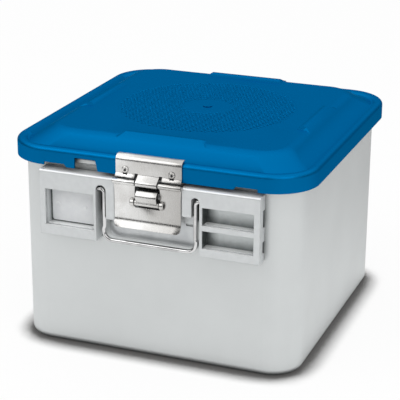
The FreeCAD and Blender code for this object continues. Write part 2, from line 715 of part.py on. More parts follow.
    for end, forward in (("front", True), ("rear", False)):
        holes = place_sketch(lid, f"lid_{end}_rivet_holes", "XZ_Plane", 0)
        for x, z in LATCH_RIVETS:
            circle(holes, x, z, "Sizes.bracket_rivet_radius + Sizes.rivet_gap")
        pocket(lid, holes, f"{LID_Y} + Sizes.lid_wall", reverse=forward)
    return finish_piece(lid, "lid_pan")


def add_bar(lid, name, side, turned):
    """One stacking bar: the shoulder's slope carried on above the plateau, with sloped ends."""
    reach = LID_X if turned else LID_Y
    fall = "((Sizes.shoulder_inset - Sizes.valley_inset) / Sizes.plateau_rise)"
    edge = f"({reach} - Sizes.shoulder_inset)"
    top_outer = f"({edge} - Sizes.bar_rise * {fall})"
    low_outer = f"({edge} + Sizes.bar_root * {fall} - Sizes.lid_gap)"
    low_inner = f"({top_outer} - Sizes.bar_width - Sizes.bar_run)"
    half_low = "Sizes.bar_length / 2"
    half_top = "(Sizes.bar_length / 2 - Sizes.bar_slope)"
    sections = (
        ("foot", f"{PLATEAU} - Sizes.bar_root", low_outer, low_inner, half_low),
        ("top", f"{PLATEAU} + Sizes.bar_rise", top_outer, f"({top_outer} - Sizes.bar_width)",
         half_top),
    )
    sketches = []
    for level, height, outer, inner, half in sections:
        sketch = place_sketch(lid, f"{name}_{level}", "XY_Plane", height)
        corners = [(f"-{half}", signed(side, inner)), (half, signed(side, inner)),
                   (half, signed(side, outer)), (f"-{half}", signed(side, outer))]
        if turned:
            corners = [(across, along) for along, across in corners]
        outline(sketch, corners)
        sketches.append(sketch)
    loft(lid, "Additive", *sketches)


def make_gasket():
    """Flat silicone ring that the lid's valley presses on the tub's rim."""
    gasket = new_body("lid_gasket")
    ring = place_sketch(gasket, "gasket_ring", "XY_Plane", "Sizes.rim_top")
    outer = "Sizes.bead_reach - Sizes.bead_round"
    inner = f"({outer} - Sizes.gasket_width)"
    for reach in (outer, inner):
        rounded_rectangle(
            ring,
            f"Sizes.tub_width / 2 + {reach}",
            f"Sizes.tub_depth / 2 + {reach}",
            f"Sizes.tub_corner + {reach}",
        )
    pad(gasket, ring, "Sizes.gasket_height")
    return finish_piece(gasket, "lid_gasket")


def make_filter_set():
    """Paper disc under the perforated field, held by a dished retainer, seal, stud and knob."""
    stud = fuse(
        "centre_stud",
        cylinder("stud_shank", "Sizes.stud_radius", f"Sizes.stud_drop + Sizes.lid_wall",
                 ("0", "0", f"{UNDER_PLATEAU} - Sizes.stud_drop")),
        cylinder("stud_head", "Sizes.stud_head_radius", "Sizes.stud_head_height",
                 ("0", "0", PLATEAU)),
    )
    finish_piece(stud, "centre_stud")

    hole = "(Sizes.stud_radius + Sizes.stud_gap)"
    paper_top = f"({UNDER_PLATEAU} - Sizes.lid_gap)"
    paper_low = f"({paper_top} - Sizes.filter_thickness)"
    finish_piece(
        cut(
            "filter_disc",
            cylinder("filter_round", "Sizes.filter_radius", "Sizes.filter_thickness",
                     ("0", "0", paper_low)),
            cylinder("filter_hole", hole, "2 * Sizes.filter_thickness", ("0", "0", paper_low)),
        ),
        "filter_disc",
    )

    retainer = new_body("filter_retainer")
    profile = place_sketch(retainer, "retainer_profile", "XZ_Plane", 0)
    gauge = "Sizes.retainer_gauge"
    channel = f"({paper_low} - Sizes.retainer_step - {gauge})"
    outer = "Sizes.retainer_radius"
    bend = f"({outer} - Sizes.seal_width - 2 * {gauge})"
    outline(profile, [
        (hole, f"({paper_low} - {gauge})"), (f"{bend} - {gauge}", f"({paper_low} - {gauge})"),
        (f"{bend} - {gauge}", channel), (outer, channel), (outer, paper_low),
        (f"{outer} - {gauge}", paper_low), (f"{outer} - {gauge}", f"{channel} + {gauge}"),
        (bend, f"{channel} + {gauge}"), (bend, paper_low), (hole, paper_low),
    ])
    turned = retainer.newObject("PartDesign::Revolution", "retainer_turned")
    turned.Profile = profile
    turned.ReferenceAxis = (profile, ["V_Axis"])
    turned.Angle = 360
    doc.recompute()
    finish_piece(retainer, "filter_retainer")

    seal_low = f"({channel} + {gauge})"
    seal_height = f"({paper_top} - {seal_low})"
    finish_piece(
        cut(
            "retainer_seal",
            cylinder("seal_round", f"{outer} - {gauge}", seal_height, ("0", "0", seal_low)),
            cylinder("seal_hole", bend, f"2 * {seal_height}", ("0", "0", seal_low)),
        ),
        "retainer_seal",
    )

    knob_top = f"({paper_low} - {gauge})"
    hub = cylinder("knob_hub", "Sizes.knob_radius", "Sizes.knob_height",
                   ("0", "0", f"{knob_top} - Sizes.knob_height"))
    wing = box("knob_wing",
               ("-Sizes.knob_wing_length / 2", "-Sizes.knob_wing_width / 2",
                f"{knob_top} - Sizes.knob_wing_height"),
               ("Sizes.knob_wing_length", "Sizes.knob_wing_width", "Sizes.knob_wing_height"))
    bore = cylinder("knob_bore", hole, "3 * Sizes.knob_wing_height",
                    ("0", "0", f"{knob_top} - 2 * Sizes.knob_wing_height"))
    finish_piece(cut("retainer_knob", fuse("knob_blank", hub, wing), bore), "retainer_knob")


def slot_head(side):
    """Height of the middle of the slot's round head."""
    return f"({FRAME_TOP} - Sizes.slot_top_drop - {SLOT_WIDTH[side]} / 2)"


def add_bail_slot(body, name, side):
    """The round head of the slot that the bail's leg hangs in, and the bail's blind pivot hole."""
    middle = signed(side, f"Sizes.frame_inner - {SLOT_WIDTH[side]} / 2")
    head = place_sketch(body, f"{name}_slot_head", "XZ_Plane", WALL)
    circle(head, middle, slot_head(side), f"{SLOT_WIDTH[side]} / 2")
    pocket(body, head, "2 * Sizes.frame_depth", reverse=True)
    pivot = place_sketch(body, f"{name}_pivot", "YZ_Plane", middle)
    circle(pivot, f"-({WALL} + Sizes.bail_standoff)", BAIL_PIVOT,
           "Sizes.wire_radius + Sizes.trunnion_gap")
    pocket(body, pivot, f"{SLOT_WIDTH[side]} / 2 + Sizes.trunnion_reach + 2 * Sizes.trunnion_gap",
           reverse=side > 0)


def frame_blank(body, name, side, outer, foot, strip_height):
    """The frame's block: label part, slot land and the strip that runs down beside the latch."""
    face = place_sketch(body, f"{name}_face", "XZ_Plane", WALL)
    strip_foot = f"({FRAME_TOP} - {strip_height})"
    slot_inner = signed(side, f"Sizes.frame_inner - {SLOT_WIDTH[side]}")
    outline(face, [
        (signed(side, STRIP_INNER[side]), FRAME_TOP),
        (signed(side, STRIP_INNER[side]), strip_foot),
        (slot_inner, strip_foot),
        (slot_inner, slot_head(side)),
        (signed(side, "Sizes.frame_inner"), slot_head(side)),
        (signed(side, "Sizes.frame_inner"), foot),
        (signed(side, outer), foot),
        (signed(side, outer), FRAME_TOP),
    ])
    block = pad(body, face, "Sizes.frame_depth")
    front = -number(WALL) - number("Sizes.frame_depth")
    top = number(FRAME_TOP)
    fillet(body, block, "Sizes.frame_edge",
           lambda edge, middle: close(middle.y, front) and close(middle.z, top))


def add_window(body, name, side, drop, height):
    """One label window: opening, then a wider groove behind the lip that takes the label."""
    top = f"({FRAME_TOP} - {drop})"
    foot = f"({top} - {height})"
    opening = place_sketch(body, f"{name}_opening", "XZ_Plane", f"{WALL} + Sizes.frame_depth")
    rectangle(opening, signed(side, WINDOW_INNER), signed(side, WINDOW_OUTER), foot, top)
    pocket(body, opening, "Sizes.frame_depth - Sizes.frame_web")
    groove = place_sketch(body, f"{name}_groove", "XZ_Plane",
                          f"{WALL} + Sizes.frame_depth - Sizes.label_lip")
    reach = "Sizes.label_groove_reach"
    rectangle(groove, signed(side, f"({WINDOW_INNER} - {reach})"),
              signed(side, f"({WINDOW_OUTER} + {reach})"), f"{foot} - {reach}", f"{top} + {reach}")
    pocket(body, groove, "Sizes.label_groove")


def add_rivet_holes(body, name, places, depth="2 * Sizes.frame_depth"):
    sketch = place_sketch(body, f"{name}_rivet_holes", "XZ_Plane", WALL)
    for x, z in places:
        circle(sketch, x, z, RIVET_HOLE)
    pocket(body, sketch, depth, reverse=True)


def add_side_relief(body, name, side):
    """Entry for the labels in the outer side, along the wall, with whole ends and one lug."""
    relief = place_sketch(body, f"{name}_relief", "XZ_Plane", WALL)
    inner = signed(side, "(Sizes.frame_outer - Sizes.side_relief_width)")
    beyond = signed(side, "(Sizes.frame_outer + Sizes.side_relief_width)")
    lug_foot = f"({FRAME_FOOT} + Sizes.side_lug_rise)"
    rectangle(relief, inner, beyond, f"{FRAME_FOOT} + Sizes.side_relief_margin / 2", lug_foot)
    rectangle(relief, inner, beyond, f"{lug_foot} + Sizes.side_lug_height",
              f"{FRAME_TOP} - Sizes.side_relief_margin")
    pocket(body, relief, "Sizes.side_relief_depth", reverse=True)


def make_label_frames():
    """The two moulded frames at the front: label windows, bail slot and strip in one piece."""
    left = new_body("left_label_frame")
    frame_blank(left, "left_frame", LEFT, "Sizes.frame_outer", FRAME_FOOT,
                "Sizes.left_strip_height")
    add_window(left, "tall_window", LEFT, "Sizes.tall_window_top", "Sizes.tall_window_height")
    add_side_relief(left, "left_frame", LEFT)
    add_bail_slot(left, "left_frame", LEFT)
    add_rivet_holes(left, "left_frame", LEFT_RIVETS)
    finish_piece(left, "left_label_frame")

    right = new_body("right_label_frame")
    frame_blank(right, "right_frame", RIGHT, "Sizes.frame_outer", FRAME_FOOT,
                "Sizes.strip_step_height")
    step = place_sketch(right, "strip_step", "XZ_Plane", f"{WALL} + Sizes.strip_step_depth")
    rectangle(step, "Sizes.right_strip_inner - Sizes.frame_web",
              "Sizes.frame_inner - Sizes.right_slot_width + Sizes.frame_web",
              f"{FRAME_TOP} - Sizes.strip_step_height - Sizes.frame_web",
              f"{FRAME_TOP} - Sizes.right_strip_height")
    pocket(right, step, "Sizes.frame_depth", reverse=True)
    low = "Sizes.low_window_height"
    add_window(right, "upper_window", RIGHT, "Sizes.low_window_top", low)
    add_window(right, "lower_window", RIGHT, f"(Sizes.low_window_top + {low} + Sizes.mullion)", low)
    add_side_relief(right, "right_frame", RIGHT)
    add_bail_slot(right, "right_frame", RIGHT)
    add_rivet_holes(right, "right_frame", RIGHT_RIVETS,
                    "Sizes.hidden_rivet_depth + Sizes.rivet_gap")
    finish_piece(right, "right_label_frame")

    seen = rivets("left_frame_rivets", LEFT_RIVETS, f"({WALL} + Sizes.frame_web)",
                  "Sizes.rivet_head_radius", "Sizes.rivet_radius",
                  "(Sizes.frame_web + Sizes.tub_wall)")
    finish_piece(seen, "left_frame_rivets")
    buried = rivets("right_frame_rivets", RIGHT_RIVETS, f"({WALL} + Sizes.hidden_rivet_depth)",
                    "Sizes.rivet_head_radius", "Sizes.rivet_radius",
                    "(Sizes.hidden_rivet_depth + Sizes.tub_wall)", hidden=True)
    finish_piece(buried, "right_frame_rivets")


def make_rear_bail_brackets():
    """Plain moulded brackets at the rear, with the same slots and pivots and no label windows."""
    for side, label in ((RIGHT, "rear_right_bail_bracket"), (LEFT, "rear_left_bail_bracket")):
        body = new_body(label + "_blank")
        foot = f"({FRAME_TOP} - Sizes.rear_bracket_height)"
        frame_blank(body, label, side, "Sizes.rear_bracket_outer", foot,
                    "Sizes.rear_bracket_height")
        add_bail_slot(body, label, side)
        add_rivet_holes(body, label, [(signed(side, REAR_RIVET_X), z) for z in REAR_RIVET_Z])
        mirrored_piece(body, label)
    places = [(signed(side, REAR_RIVET_X), z) for side in (LEFT, RIGHT) for z in REAR_RIVET_Z]
    group = rivets("rear_bail_bracket_rivets_blank", places, f"({WALL} + Sizes.frame_depth)",
                   "Sizes.rivet_head_radius", "Sizes.rivet_radius",
                   "(Sizes.frame_depth + Sizes.tub_wall)")
    mirrored_piece(group, "rear_bail_bracket_rivets")


def make_backing_and_strike():
    """Thin plate on the wall behind latch and bail, and the strike that the claw pushes up on."""
    backing = new_body("front_backing_plate")
    face = place_sketch(backing, "backing_face", "XZ_Plane", WALL)
    half = "(Sizes.backing_width / 2)"
    left_neck = "-(Sizes.left_strip_inner - Sizes.backing_gap)"
    right_neck = "(Sizes.right_strip_inner - Sizes.backing_gap)"
    shoulder = f"({FRAME_TOP} - Sizes.left_strip_height - Sizes.backing_gap)"
    foot = f"({FRAME_TOP} - Sizes.backing_corner - Sizes.backing_height)"
    top = f"({FRAME_TOP} - Sizes.backing_corner)"
    outline(face, [
        (f"-{half}", foot), (half, foot), (half, shoulder), (right_neck, shoulder),
        (right_neck, top), (left_neck, top), (left_neck, shoulder), (f"-{half}", shoulder),
    ])
    plate = pad(backing, face, "Sizes.backing_gauge")
    fillet(backing, plate, "Sizes.backing_corner",
           lambda edge, middle: edge.BoundBox.YLength > 0 and close(middle.z, number(foot))
           and close(abs(middle.x), number(half)))
    holes = place_sketch(backing, "backing_holes", "XZ_Plane", WALL)
    for x, z in STRIKE_RIVETS:
        circle(holes, x, z, RIVET_HOLE)
    pocket(backing, holes, "2 * Sizes.backing_gauge", reverse=True)
    finish_piece(backing, "front_backing_plate")
    mirrored_piece(backing, "rear_backing_plate")

    lip = signed(-1, STRIKE_EDGE)
    root = signed(-1, BACKING_FACE)
    sheet = folded_sheet(
        "strike_sheet",
        [(lip, STRIKE_TOP), (root, STRIKE_TOP), (root, f"({STRIKE_TOP} - Sizes.strike_height)")],
        "Sizes.strike_gauge",
        "Sizes.strike_width",
    )
    drills = [
        cylinder(f"strike_drill_{count}", RIVET_HOLE, "4 * Sizes.strike_gauge",
                 (x, f"{root} - 3 * Sizes.strike_gauge", z), "y")
        for count, (x, z) in enumerate(STRIKE_RIVETS, start=1)
    ]
    strike = finish_piece(cut("front_strike", sheet, *drills), "front_strike")
    mirrored_piece(strike, "rear_strike")

    face = f"({BACKING_FACE} + Sizes.strike_gauge)"
    grip = "(Sizes.strike_gauge + Sizes.backing_gauge + Sizes.tub_wall)"
    group = rivets("front_strike_rivets", STRIKE_RIVETS, face, "Sizes.rivet_head_radius",
                   "Sizes.rivet_radius", grip)
    mirrored_piece(finish_piece(group, "front_strike_rivets"), "rear_strike_rivets")


def make_latch():
    """The draw latch: bracket and pin on the lid, latch plate, claw pin and claw."""
    skirt, hinge_y = signed(-1, LID_Y), signed(-1, HINGE_Y)
    bevel = "Sizes.bracket_bevel"
    gauge = "Sizes.sheet_gauge"
    over_rim = [
        (f"({skirt} + Sizes.crest_inset)", CREST),
        (f"({skirt} + {bevel})", CREST),
        (skirt, f"({CREST} - {bevel})"),
        (skirt, BRACKET_BEND),
    ]
    run = "Sizes.bracket_bend_run"
    side_end = (f"({skirt} - {run})", f"({BRACKET_BEND} - {run})")
    sheet = folded_sheet("bracket_sheet", over_rim + [side_end], gauge, "Sizes.bracket_width")
    tongue_end = (f"({hinge_y} + Sizes.tongue_end)", f"({HINGE_Z} + Sizes.tongue_end)")
    tongue_root = (skirt, f"({BRACKET_BEND} + 2 * {gauge})")
    tongue = folded_sheet("bracket_tongue", [tongue_root, over_rim[-1], tongue_end], gauge,
                          "Sizes.tongue_width")
    knuckle = centred_bar("bracket_knuckle", "Sizes.tongue_knuckle", "Sizes.tongue_width",
                          hinge_y, HINGE_Z)
    middle = "(Sizes.tongue_width + Sizes.notch_width) / 2"
    reliefs = [
        box(f"bracket_relief_{count}",
            (f"Sizes.latch_place + {side} * {middle} - Sizes.notch_width / 2", hinge_y,
             f"{BRACKET_BEND} - 2 * Sizes.tongue_knuckle"),
            ("Sizes.notch_width", f"{HINGE_Y} - {LID_Y} + 2 * {gauge}",
             "2 * Sizes.tongue_knuckle + Sizes.notch_width / 2"))
        for count, side in enumerate((LEFT, RIGHT), start=1)
    ]
    bore = centred_bar("bracket_bore", "(Sizes.pin_radius + Sizes.running_gap)",
                       "2 * Sizes.tongue_width", hinge_y, HINGE_Z)
    drills = [
        cylinder(f"bracket_drill_{count}", "Sizes.bracket_rivet_radius + Sizes.rivet_gap",
                 f"4 * {gauge}", (x, f"{skirt} - 2 * {gauge}", z), "y")
        for count, (x, z) in enumerate(LATCH_RIVETS, start=1)
    ]
    bracket = cut("front_latch_bracket", fuse("bracket_blank", sheet, tongue, knuckle),
                  *reliefs, bore, *drills)
    finish_piece(bracket, "front_latch_bracket")
    mirrored_piece(bracket, "rear_latch_bracket")
    group = rivets("front_latch_rivets", LATCH_RIVETS, f"({LID_Y} + {gauge})",
                   "Sizes.bracket_head_radius", "Sizes.bracket_rivet_radius",
                   f"({gauge} + Sizes.lid_wall)")
    mirrored_piece(finish_piece(group, "front_latch_rivets"), "rear_latch_rivets")

    pin = centred_bar("front_hinge_pin", "Sizes.pin_radius", "Sizes.plate_ear_width",
                      hinge_y, HINGE_Z)
    finish_piece(pin, "front_hinge_pin")
    mirrored_piece(pin, "rear_hinge_pin")

    make_latch_plate(hinge_y)
    make_claw()


def make_latch_plate(hinge_y):
    back = signed(-1, PLATE_BACK)
    fold = f"({HINGE_Z} - Sizes.plate_fold_drop)"
    lip_foot = f"({fold} - Sizes.lip_drop)"
    gauge = "Sizes.plate_gauge"
    sheet = folded_sheet(
        "plate_sheet",
        [(back, HINGE_Z), (back, fold), (f"({back} - Sizes.lip_reach)", lip_foot)],
        gauge,
        "Sizes.plate_width",
    )
    half_window = "(Sizes.claw_width / 2 + Sizes.window_gap)"
    ear = "(Sizes.plate_ear_width / 2)"
    knuckle_start = "(Sizes.tongue_width / 2 + Sizes.knuckle_gap)"
    knuckle_length = f"({ear} - {knuckle_start})"
    knuckles = [
        cylinder(f"plate_knuckle_{count}", "Sizes.plate_knuckle", knuckle_length,
                 (f"Sizes.latch_place + {start}", hinge_y, HINGE_Z), "x")
        for count, start in enumerate((knuckle_start, f"-{ear}"), start=1)
    ]
    claw_y = signed(-1, CLAW_Y)
    ears = [
        cylinder(f"claw_ear_{count}", "Sizes.claw_ear_radius", "Sizes.claw_ear_width",
                 (f"Sizes.latch_place + {start}", claw_y, CLAW_Z), "x")
        for count, start in enumerate(
            (half_window, f"-({half_window} + Sizes.claw_ear_width)"), start=1)
    ]
    window_top = f"({HINGE_Z} - Sizes.plate_knuckle - Sizes.knuckle_gap / 2)"
    window_foot = f"({CLAW_Z} - Sizes.claw_barrel - Sizes.knuckle_gap / 2)"
    window = box("plate_window",
                 (f"Sizes.latch_place - {half_window}", f"{hinge_y} - Sizes.plate_knuckle * 2",
                  window_foot),
                 (f"2 * {half_window}", "6 * Sizes.plate_knuckle",
                  f"{window_top} - {window_foot}"))
    tongue_gap = box("plate_tongue_gap",
                     (f"Sizes.latch_place - {knuckle_start}",
                      f"{hinge_y} - Sizes.plate_knuckle * 2", window_foot),
                     (f"2 * {knuckle_start}", "6 * Sizes.plate_knuckle",
                      "2 * Sizes.claw_pin_drop"))
    corner_cutters = [plate_corner_cutter(side, lip_foot) for side in (LEFT, RIGHT)]
    hinge_bore = centred_bar("plate_bore", "(Sizes.pin_radius + Sizes.running_gap)",
                             "2 * Sizes.plate_ear_width", hinge_y, HINGE_Z)
    pin_length = f"2 * ({half_window} + Sizes.claw_ear_width)"
    claw_bore = centred_bar("plate_claw_bore", "(Sizes.claw_pin_radius + Sizes.press_gap)",
                            pin_length, claw_y, CLAW_Z)
    blank = cut("plate_blank", fuse("plate_fused", sheet, *knuckles), window, tongue_gap,
                *corner_cutters)
    plate = cut("front_latch_plate", fuse("plate_with_ears", blank, *ears), hinge_bore, claw_bore)
    finish_piece(plate, "front_latch_plate")
    mirrored_piece(plate, "rear_latch_plate")

    pin = centred_bar("front_claw_pin", "Sizes.claw_pin_radius", pin_length, claw_y, CLAW_Z)
    finish_piece(pin, "front_claw_pin")
    mirrored_piece(pin, "rear_claw_pin")


def plate_corner_cutter(side, lip_foot):
    """What is taken off one lower corner of the latch plate to leave it round."""
    radius = "Sizes.plate_corner"
    edge = "(Sizes.plate_width / 2)"
    name = "left" if side < 0 else "right"
    beyond = "Sizes.plate_gauge"
    start = f"-{edge} - {beyond}" if side < 0 else f"{edge} - {radius}"
    depth = "8 * Sizes.lip_reach"
    low_y = f"-{HINGE_Y} - {depth} / 2"
    square = box(f"corner_square_{name}",
                 (f"Sizes.latch_place + {start}", low_y, f"{lip_foot} - {beyond}"),
                 (f"{radius} + {beyond}", depth, f"{radius} + {beyond}"))
    middle_x = f"Sizes.latch_place + {side} * ({edge} - {radius})"
    round_part = cylinder(f"corner_round_{name}", radius, depth,
                          (middle_x, low_y, f"({lip_foot} + {radius})"), "y")
    return cut(f"corner_cutter_{name}", square, round_part)


def make_claw():
    claw_y = signed(-1, CLAW_Y)
    tip_y = f"(-{STRIKE_EDGE} - Sizes.catch_gap)"
    tip_z = f"({CLAW_Z} + Sizes.claw_rise)"
    path = [
        (tip_y, tip_z),
        (f"({tip_y} - Sizes.claw_crown_reach)", f"({tip_z} - Sizes.claw_crown_drop)"),
        (f"({claw_y} - Sizes.claw_face_reach)", f"({CLAW_Z} + Sizes.claw_face_rise)"),
        (f"({claw_y} - Sizes.claw_foot_reach)", CLAW_Z),
    ]
    sheet = folded_sheet("claw_sheet", path, "Sizes.claw_gauge",
                         "Sizes.claw_width - 2 * Sizes.claw_side_gap")
    barrel = centred_bar("claw_barrel_round", "Sizes.claw_barrel", "Sizes.claw_width",
                         claw_y, CLAW_Z)
    bore = centred_bar("claw_bore", "(Sizes.claw_pin_radius + Sizes.running_gap)",
                       "2 * Sizes.claw_width", claw_y, CLAW_Z)
    claw = cut("front_claw", fuse("claw_blank", sheet, barrel), bore)
    finish_piece(claw, "front_claw")
    mirrored_piece(claw, "rear_claw")


def bent_wire(points, radii, wire_radius):
    """A round wire along straight runs joined by tangent bends, one radius per inner point."""
    runs = []
    start = points[0]
    for before, corner, after, radius in zip(points, points[1:], points[2:], radii):
        inward = (before - corner).normalize()
        onward = (after - corner).normalize()
        half_angle = inward.getAngle(onward) / 2
        setback = radius / math.tan(half_angle)
        enter, leave = corner + inward * setback, corner + onward * setback
        middle = corner + (inward + onward).normalize() * (radius / math.sin(half_angle))
        runs.append(round_section(start, enter, wire_radius).extrude(enter - start))
        turn = 180 - math.degrees(2 * half_angle)
        axis = (-inward).cross(onward)
        runs.append(round_section(enter, corner, wire_radius).revolve(middle, axis, turn))
        start = leave
    runs.append(round_section(start, points[-1], wire_radius).extrude(points[-1] - start))
    return runs[0].multiFuse(runs[1:]).removeSplitter()


def round_section(place, towards, radius):
    return Part.Face(Part.Wire(Part.Circle(place, towards - place, radius).toShape()))


def make_bail():
    """Carrying bail: one stainless wire, hung by its out-turned ends in the frames' holes."""
    place_y = -number(WALL) - number("Sizes.bail_standoff")
    pivot_z = number(BAIL_PIVOT)
    leg, kink = number("Sizes.bail_leg"), number("Sizes.bail_kink")
    bar_z = pivot_z - number("Sizes.bail_length")
    kink_z = bar_z + number("Sizes.bail_kink_rise")
    end = number("Sizes.frame_inner") + number("Sizes.trunnion_reach")
    middle = number("Sizes.latch_place")
    places = []
    for side in (LEFT, RIGHT):
        upright, outward = middle + side * leg, middle + side * (leg + kink)
        run = [(side * end, pivot_z), (upright, pivot_z), (upright, kink_z),
               (outward, kink_z - 2 * kink), (outward, bar_z)]
        places += [Vector(x, place_y, z) for x, z in run[::-side]]
    top_bend, bend = number("Sizes.bail_top_bend"), number("Sizes.bail_bend")
    radii = [top_bend, top_bend, top_bend / 2, bend]
    bail = doc.addObject("Part::Feature", "front_bail")
    bail.Shape = bent_wire(places, radii + radii[::-1], number("Sizes.wire_radius"))
    finish_piece(bail, "front_bail")
    mirrored_piece(bail, "rear_bail")


make_tub()
make_lid()
make_gasket()
make_filter_set()
make_label_frames()
make_rear_bail_brackets()
make_backing_and_strike()
make_latch()
make_bail()
doc.recompute()

for item in doc.Objects:
    if "Invalid" in item.State or "Error" in item.State:
        raise ValueError(f"{item.Label} failed: {item.State}")
for piece in pieces:
    shape = piece.Shape
    if shape.isNull() or not shape.isValid() or not shape.Solids:
        raise ValueError(f"{piece.Label} has no valid shape")

os.makedirs("parts", exist_ok=True)
for piece in pieces:
    piece.Shape.exportStep(f"parts/{piece.Label}.step")
    box_of = piece.Shape.BoundBox
    print(
        f"{piece.Label:26s} solids {len(piece.Shape.Solids)} volume {piece.Shape.Volume:11.1f}"
        f"  x {box_of.XMin:7.1f} {box_of.XMax:7.1f}  y {box_of.YMin:7.1f} {box_of.YMax:7.1f}"
        f"  z {box_of.ZMin:6.1f} {box_of.ZMax:6.1f}"
    )
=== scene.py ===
import math

import bmesh
import bpy
from mathutils import Euler, Matrix, Vector


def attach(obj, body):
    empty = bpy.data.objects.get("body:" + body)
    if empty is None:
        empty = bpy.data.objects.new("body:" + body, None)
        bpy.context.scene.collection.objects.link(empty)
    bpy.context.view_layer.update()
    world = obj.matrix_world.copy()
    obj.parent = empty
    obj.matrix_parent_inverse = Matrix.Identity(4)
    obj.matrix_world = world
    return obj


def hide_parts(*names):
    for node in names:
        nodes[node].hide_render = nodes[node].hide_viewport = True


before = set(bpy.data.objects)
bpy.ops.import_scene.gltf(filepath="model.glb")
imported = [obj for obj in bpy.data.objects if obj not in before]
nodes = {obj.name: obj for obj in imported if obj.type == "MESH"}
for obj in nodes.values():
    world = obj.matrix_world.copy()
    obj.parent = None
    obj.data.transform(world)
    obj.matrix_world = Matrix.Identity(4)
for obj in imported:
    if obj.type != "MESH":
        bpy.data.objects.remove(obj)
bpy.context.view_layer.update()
MM = 0.001


# The camera: a long lens in front and to the right, looking down on the lid, with the
# frame square. Its focal length is measured in pixels of a picture 400 pixels wide.

PICTURE_WIDTH, FOCAL_LENGTH, SENSOR_WIDTH = 400, 1435.33, 36
CAMERA_PLACE = (0.48597, -1.2893, 0.61396)
LOOKS_DOWN, LOOKS_LEFT, ROLL = 19.99, 20.944, 0.367

camera_data = bpy.data.cameras.new("camera")
camera_data.sensor_width = SENSOR_WIDTH
camera_data.lens = FOCAL_LENGTH * SENSOR_WIDTH / PICTURE_WIDTH
camera_data.clip_end = 50
camera = bpy.data.objects.new("camera", camera_data)
bpy.context.scene.collection.objects.link(camera)
camera.location = CAMERA_PLACE
aim = Euler((math.radians(90 - LOOKS_DOWN), 0, math.radians(LOOKS_LEFT))).to_matrix()
roll = Matrix.Rotation(math.radians(ROLL), 3, "Z")
camera.rotation_euler = (aim @ roll).to_euler()
bpy.context.scene.camera = camera
bpy.context.scene.view_settings.view_transform = "Standard"


# The floor: a seamless white sheet of studio paper under the container. It shows white to
# the camera with a painted soft shadow round the tub's foot, and has painted shade towards
# the back that only the polished metal sees in its reflection.


class Socket:
    """An output socket of a material's nodes, so that its maths reads as plain Python."""

    def __init__(self, tree, source=None):
        self.tree = tree
        self.source = source

    def make(self, kind, settings=None, inputs=None, output=0):
        """Adds a node: its settings first, then the values or links of its input sockets."""
        node = self.tree.nodes.new("ShaderNode" + kind)
        for key, value in (settings or {}).items():
            if key == "stops":
                set_ramp(node.color_ramp, value)
            else:
                setattr(node, key, value)
        for key, value in (inputs or {}).items():
            if isinstance(value, Socket):
                self.tree.links.new(value.source, node.inputs[key])
            else:
                node.inputs[key].default_value = value
        return Socket(self.tree, node.outputs[output] if node.outputs else None)

    def maths(self, operation, first, second=0.0):
        return self.make("Math", {"operation": operation}, {0: first, 1: second})

    def __add__(self, other):
        return self.maths("ADD", self, other)

    __radd__ = __add__

    def __mul__(self, other):
        return self.maths("MULTIPLY", self, other)

    __rmul__ = __mul__

    def axis(self, number):
        """One part of a place or direction: 0 across, 1 deep, 2 high."""
        return self.make("SeparateXYZ", None, {0: self}, output=number)

    def clipped(self, low, high):
        """Runs from 0 at low to 1 at high."""
        return self.make("MapRange", None, {"Value": self, "From Min": low, "From Max": high})

    def blend(self, dark, light):
        """A colour between two others, or socket outputs, with this socket as the factor."""
        return self.make(
            "Mix", {"data_type": "RGBA"}, {0: self, 6: dark, 7: light}, output=2
        )


def set_ramp(ramp, stops):
    """Sets a colour ramp to the (place, grey) pairs given."""
    while len(ramp.elements) < len(stops):
        ramp.elements.new(1.0)
    for element, (place, grey) in zip(ramp.elements, stops):
        element.position = place
        element.color = (grey, grey, grey, 1)


def new_material(name):
    material = bpy.data.materials.new(name)
    material.use_nodes = True
    material.node_tree.nodes.clear()
    return material, Socket(material.node_tree)


def linear(red, green, blue):
    """A colour for the shader from its 0 to 255 values on screen."""
    values = []
    for channel in (red, green, blue):
        share = channel / 255
        values.append(share / 12.92 if share <= 0.04045 else ((share + 0.055) / 1.055) ** 2.4)
    return (*values, 1)


def object_place(start):
    """Where a point lies on its piece, in metres."""
    return start.make("TexCoord", output=3)


def openness(start, distance, low, high):
    """From 0 deep in a gap to 1 on an open face, judged over a distance in millimetres."""
    air = start.make("AmbientOcclusion", {"samples": 8}, {"Distance": distance * MM}, output=1)
    return air.clipped(low, high)


WHITE, PAPER_WHITE, SHADOW = (1, 1, 1, 1), linear(240, 240, 240), linear(66, 65, 64)
PAINTED_BACK_SHADE = (0.2, 0.2, 0.2, 1)
SHADOW_REACH = 32
FLOOR_HALF, FLOOR_SET_BACK = 2.6, 0.9

paper, start = new_material("studio_paper")
rays = start.make("LightPath").source.node.outputs
camera_ray, glossy_ray, glass_ray = (
    Socket(start.tree, rays[name])
    for name in ("Is Camera Ray", "Is Glossy Ray", "Is Transmission Ray")
)
diffuse = start.make("BsdfDiffuse", None, {"Color": PAPER_WHITE})
# Painted shadow: the floor's emission darkens near the tub, by ambient occlusion.
painted_contact_shadow = openness(start, SHADOW_REACH, 0.62, 0.82).blend(SHADOW, WHITE)
# Painted shade in reflections: the floor darkens towards the back for glossy rays only.
painted_back_shade_mask = 0.62 * glossy_ray * object_place(start).axis(1).clipped(0.08, 0.5)
white = start.make("Emission", None, {"Color": painted_back_shade_mask.blend(painted_contact_shadow, PAINTED_BACK_SHADE)})
share = 0.9 * camera_ray + 0.7 * glossy_ray + 0.7 * glass_ray
shown = start.make("MixShader", None, {0: share, 1: diffuse, 2: white})
start.make("OutputMaterial", None, {"Surface": shown})

